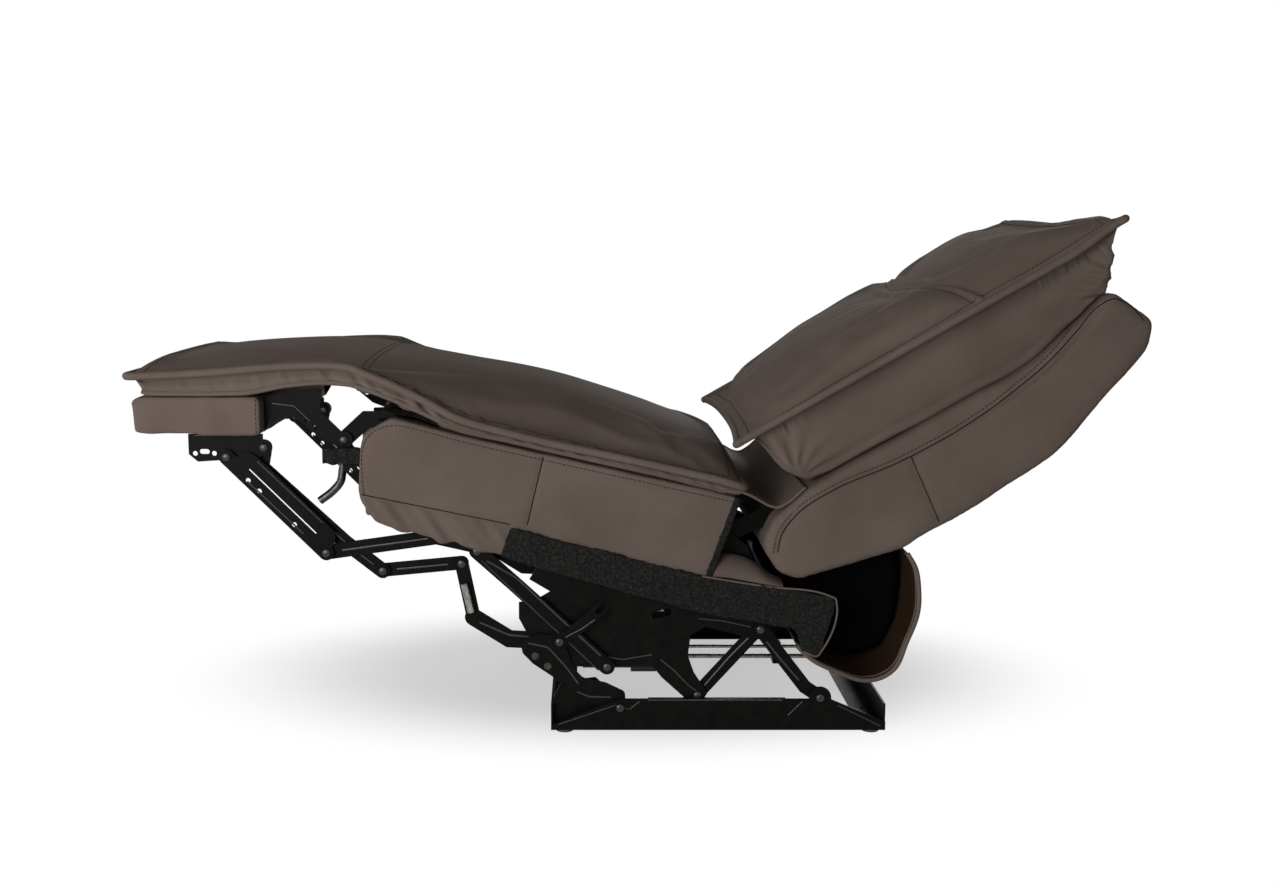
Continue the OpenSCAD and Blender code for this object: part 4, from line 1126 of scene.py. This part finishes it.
def hung_sheet(name, line, half, wave_of, thickness, lining=None):
    """A sheet across the chair along an [x, z] line, with waves out of it and its other side lined."""
    across = np.linspace(-half, half, 110)
    tangent = way_along(line)
    points, faces = [], []
    for i, (x, z) in enumerate(line):
        share = i / (len(line) - 1)
        for y in across:
            wave = wave_of(share, y)
            points.append((x - tangent[i][1] * wave, y, z + tangent[i][0] * wave))
    width = len(across)
    for i in range(len(line) - 1):
        for k in range(width - 1):
            corner = i * width + k
            faces.append((corner, corner + 1, corner + 1 + width, corner + width))
    made = mesh_piece(name, points, faces, leather)
    thick = made.modifiers.new("thick", "SOLIDIFY")
    thick.thickness = thickness
    thick.offset = 0
    if lining:
        made.data.materials.append(lining)
        thick.material_offset = 1
    bake(made)
    made.data.shade_smooth()
    return made


crevice_line, crevice_length = smooth_run(CREVICE_RUN, 40)
crevice = hung_sheet("crevice_cloth", crevice_line, CREVICE_HALF,
                     lambda share, y: 0.0012 * math.sin(share * math.pi) * math.sin(21 * y),
                     thickness=0.0018)
crevice_hem = roll("crevice_cloth_hem", [[(x, sign * (CREVICE_HALF - 0.001), z) for x, z in crevice_line]
                                         for sign in (-1, 1)], radius=0.0022, material=leather)
for cloth in (crevice, crevice_hem):
    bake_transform(cloth)


# The felt skirts
# Boards along the base of the seat's sides, faced with charcoal needle felt: no gloss at all, a tangle of
# paler fibres, and an edge that is never quite straight.
def felt_material():
    """Charcoal needle felt."""
    made, tree, out, place = new_material("needle_felt")
    tangle = add(tree, "ShaderNodeTexNoise", {"Scale": 620, "Detail": 6, "Roughness": 0.8},
                 {"Vector": place}).outputs["Fac"]
    tufts = add(tree, "ShaderNodeTexNoise", {"Scale": 210, "Detail": 3, "Roughness": 0.7},
                {"Vector": place}).outputs["Fac"]
    mixed = add(tree, "ShaderNodeMath", {"operation": "MULTIPLY"}, {0: tangle, 1: tufts})
    tone = add(tree, "ShaderNodeValToRGB", {}, {"Fac": mixed.outputs[0]},
               [(0.13, "151514"), (0.26, "222221"), (0.40, "3d3d3b")])
    bump = add(tree, "ShaderNodeBump", {"Strength": 0.7, "Distance": 0.001}, {"Height": tangle})
    skin = add(tree, "ShaderNodeBsdfPrincipled", {"Roughness": 1.0, "Specular IOR Level": 0.05},
               {"Base Color": tone.outputs["Color"], "Normal": bump.outputs[0]})
    tree.links.new(skin.outputs[0], out.inputs["Surface"])
    return made


felt = felt_material()
SKIRT_HEM = [(0.1015, 0.2665), (0.200, 0.2505), (0.303, 0.2342), (0.3105, 0.2305), (0.3118, 0.225),
             (0.2885, 0.1435), (0.2855, 0.1392), (0.2615, 0.1455)]
for side, sign in (("left", -1), ("right", 1)):
    node = f"skirt_board_{side}"
    skirt = upholster(f"felt_skirt_{side}", [node], edge=0.0022, voxel=0.0024, passes=3, material=felt)
    points = coordinates(skirt)
    push(skirt, 0.0006 * ripples(points, (1, 0.4, 0.7), spacing=0.011, seed=61, waves=10, spread=1.0)
         + 0.0007 * ripples(points, (0.8, 0.1, -0.5), spacing=0.05, seed=62, spread=0.6))
    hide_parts(node)
    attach(skirt, "seat")
    hem_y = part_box(node)[1 if sign > 0 else 0][1] - sign * 0.0012
    path = [(x, hem_y, z) for x, z in smooth_run(SKIRT_HEM, step=0.003)[0]]
    hem = roll(f"felt_skirt_binding_{side}", [path], radius=0.0016, material=leather)
    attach(hem, "seat")


# The felt edge and the apron
# The side board's rear end is closed by a folded strip of the same felt. Behind it a padded leather apron
# rises out of the skirt and tucks in under the shell.
EDGE_LOW = np.array([0.098, 0.217])
EDGE_TOP = np.array([0.161, 0.390])
EDGE_WIDTH = 0.0095
EDGE_PROUD = 0.0016
edge_way = (EDGE_TOP - EDGE_LOW) / np.linalg.norm(EDGE_TOP - EDGE_LOW)
edge_out = np.array([edge_way[1], -edge_way[0]])
APRON = [(0.106, 0.262, 0.2685), (0.120, 0.264, 0.289), (0.140, 0.2625, 0.294), (0.165, 0.258, 0.2905),
         (0.190, 0.2535, 0.279), (0.212, 0.250, 0.262), (0.230, 0.2475, 0.2535)]
APRON_DEEP = 0.040
APRON_STEPS = 12
for side, sign in (("left", -1), ("right", 1)):
    outer_y, inner_y = sign * (0.299 + EDGE_PROUD), sign * 0.268
    ends = [EDGE_LOW + edge_way * 0.004, EDGE_TOP - edge_way * 0.003]
    corners = []
    for end in ends:
        for out, y in ((-EDGE_WIDTH, outer_y), (EDGE_PROUD, outer_y), (EDGE_PROUD, inner_y),
                       (-EDGE_WIDTH, inner_y)):
            spot = end + edge_out * out
            corners.append((spot[0], y, spot[1]))
    faces = [(k, (k + 1) % 4, 4 + (k + 1) % 4, 4 + k) for k in range(4)] + [(3, 2, 1, 0), (4, 5, 6, 7)]
    strip = soften(mesh_piece(f"felt_edge_{side}", corners, faces), voxel=0.0018, passes=4, material=felt)
    points = coordinates(strip)
    push(strip, 0.0005 * ripples(points, (1, 0.4, 0.7), spacing=0.010, seed=64, waves=9, spread=1.0))
    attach(strip, "seat")

    points, faces = [], []
    for x, low_z, high_z in smooth_run(APRON, step=0.004)[0]:
        for k in range(APRON_STEPS + 1):
            angle = k / APRON_STEPS * math.pi / 2
            points.append((x, sign * (0.299 - APRON_DEEP * (1 - math.cos(angle))),
                           low_z + (high_z - low_z) * math.sin(angle)))
    width = APRON_STEPS + 1
    for i in range(len(points) // width - 1):
        for k in range(APRON_STEPS):
            corner = i * width + k
            face = (corner, corner + width, corner + width + 1, corner + 1)
            faces.append(face if sign < 0 else face[::-1])
    apron = mesh_piece(f"leather_apron_{side}", points, faces, leather)
    thick = apron.modifiers.new("thick", "SOLIDIFY")
    thick.thickness = 0.003
    bake(apron)
    refine(apron)
    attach(apron, "seat")


# The rear flap
# A leather curtain that hangs from under the seat round to the back shell and hides the drive. Its hem is
# turned over once, and it bows outwards under its own stiffness.
FLAP_HALF = 0.2985
FLAP_RUN = [(0.253, 0.152), (0.282, 0.126), (0.318, 0.109), (0.364, 0.102), (0.406, 0.118), (0.431, 0.165),
            (0.440, 0.233), (0.435, 0.281), (0.422, 0.301)]


def flap_wave(share, y):
    """How far the flap stands out of its line: slow swells, and more near its free side edges."""
    held = math.sin(share * math.pi)
    return held * (0.0025 * math.sin(9.5 * y + 4 * share)
                   + 0.005 * (abs(y) / FLAP_HALF) ** 5 * math.sin(15 * share + 3 * y))


flap_line, flap_length = smooth_run(FLAP_RUN, 70)
flap = hung_sheet("rear_flap_cover", flap_line, FLAP_HALF, flap_wave, thickness=0.0022, lining=flesh_side)
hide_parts("rear_flap")
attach(flap, "seat")
HEM_WIDTH = 0.014


def hem_paths(inset, lift):
    """Lines along both side edges of the flap, that far in from them and above its leather."""
    paths = []
    for y in (inset - FLAP_HALF, FLAP_HALF - inset):
        waves = [flap_wave(i / (len(flap_line) - 1), y) + lift for i in range(len(flap_line))]
        paths.append([(x - way[1] * wave, y, z + way[0] * wave)
                      for (x, z), way, wave in zip(flap_line, way_along(flap_line), waves)])
    return paths


hem = roll("rear_flap_hem", hem_paths(inset=0.002, lift=0.0), radius=0.0036, material=leather)
fold = roll("rear_flap_hem_fold", hem_paths(inset=HEM_WIDTH, lift=0.0012), radius=0.0014, material=leather)
for piece in (hem, fold):
    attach(piece, "seat")


# The shade cloths
# Black cloth closes the flap's hollow a hand's breadth in from each end, tight between the flap and the
# frame, so that the drive behind it doesn't show: a near-black painted shade for the dark inside the hollow.
CLOTH_LINE = [(0.240, 0.166), (0.262, 0.1495), (0.286, 0.1315), (0.319, 0.115), (0.361, 0.108),
              (0.400, 0.1225), (0.424, 0.167), (0.4325, 0.233), (0.4285, 0.277), (0.415, 0.2965),
              (0.340, 0.2735), (0.262, 0.2495), (0.240, 0.2425)]
CLOTH_IN = 0.196
CLOTH_BOW = 0.004
CLOTH_RINGS = 8
# Near black, a painted shade for the hollow's dark inside.
shade_cloth_finish = leather_material("near_black_shade_cloth", "060606", "0b0b0b", rough_low=0.85, rough_high=0.95)
for side, sign in (("left", -1), ("right", 1)):
    middle = np.mean(CLOTH_LINE, axis=0)
    rings = [middle + (np.array(CLOTH_LINE) - middle) * share for share in np.linspace(1, 0.1, CLOTH_RINGS)]
    size = len(CLOTH_LINE)
    last = CLOTH_RINGS - 1
    points = []
    for k, ring in enumerate(rings):
        bow = CLOTH_BOW * (1 - (k / last - 1) ** 2)
        points += [(x, sign * (CLOTH_IN + bow + 0.001 * math.sin(40 * x + 30 * z)), z) for x, z in ring]
    points.append((middle[0], sign * (CLOTH_IN + CLOTH_BOW), middle[1]))
    faces = [(k * size + i, k * size + (i + 1) % size, (k + 1) * size + (i + 1) % size, (k + 1) * size + i)
             for k in range(last) for i in range(size)]
    faces += [(last * size + i, last * size + (i + 1) % size, CLOTH_RINGS * size) for i in range(size)]
    dust = mesh_piece(f"shade_cloth_{side}", points, faces if sign > 0 else [f[::-1] for f in faces])
    thick = dust.modifiers.new("thick", "SOLIDIFY")
    thick.thickness = 0.0012
    bake(dust, shade_cloth_finish)
    dust.data.shade_smooth()
    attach(dust, "seat")


# The knee stops
# A plated tube curves down from each knee hanger and stops the folding footrest. A block of foam wrapped in
# felt sits above it, outside the knee bracket, and keeps the stop quiet.
STOP_Y = 0.2388
STOP_RUN = [(-0.462, 0.440), (-0.466, 0.424), (-0.469, 0.406), (-0.483, 0.389), (-0.503, 0.374)]
STOP_RADIUS = 0.0066
paths = [[(x, sign * STOP_Y, z) for x, z in smooth_run(STOP_RUN)[0]] for sign in (-1, 1)]
stops = roll("knee_stop_tubes", paths, STOP_RADIUS, dark_zinc, sides=20)
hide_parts("knee_stop_arms")
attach(stops, "seat")

BUMPER = ((-0.4925, 0.2590, 0.4370), (-0.428, 0.2685, 0.4630))
for side, sign in (("left", -1), ("right", 1)):
    (x0, y0, z0), (x1, y1, z1) = BUMPER
    corners = [(x, sign * y, z) for x in (x0, x1) for y in (y0, y1) for z in (z0, z1)]
    faces = [(0, 1, 3, 2), (4, 6, 7, 5), (0, 4, 5, 1), (2, 3, 7, 6), (0, 2, 6, 4), (1, 5, 7, 3)]
    bumper = mesh_piece(f"knee_bumper_{side}", corners, faces)
    if sign < 0:
        bumper.data.flip_normals()
    soften(bumper, voxel=0.002, passes=5, material=felt)
    points = coordinates(bumper)
    push(bumper, 0.0008 * ripples(points, (1, 0.2, 0.2), spacing=0.016, seed=71, spread=0.4))
    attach(bumper, "seat")


# The lining, the drive and the glides
# The drive's casings are moulded black plastic with a fine spark texture. The motor's black can, and the
# black lining that closes the seat box at the back, are given the same finish.
def moulded_plastic():
    """Black polyamide with a spark-eroded texture."""
    made, tree, out, place = new_material("moulded_plastic")
    spark = add(tree, "ShaderNodeTexNoise", {"Scale": 1100, "Detail": 2}, {"Vector": place}).outputs["Fac"]
    shade = add(tree, "ShaderNodeTexNoise", {"Scale": 40, "Detail": 3}, {"Vector": place}).outputs["Fac"]
    tone = add(tree, "ShaderNodeValToRGB", {}, {"Fac": shade}, [(0.3, "151515"), (0.7, "1e1e1e")])
    bump = add(tree, "ShaderNodeBump", {"Strength": 0.3, "Distance": 0.0003}, {"Height": spark})
    skin = add(tree, "ShaderNodeBsdfPrincipled", {"Roughness": 0.6, "IOR": 1.53},
               {"Base Color": tone.outputs["Color"], "Normal": bump.outputs[0]})
    tree.links.new(skin.outputs[0], out.inputs["Surface"])
    return made


plastic = moulded_plastic()
dress([n for n, s in slot_of.items() if s in ("black_plastic", "motor_case", "liner")], plastic)
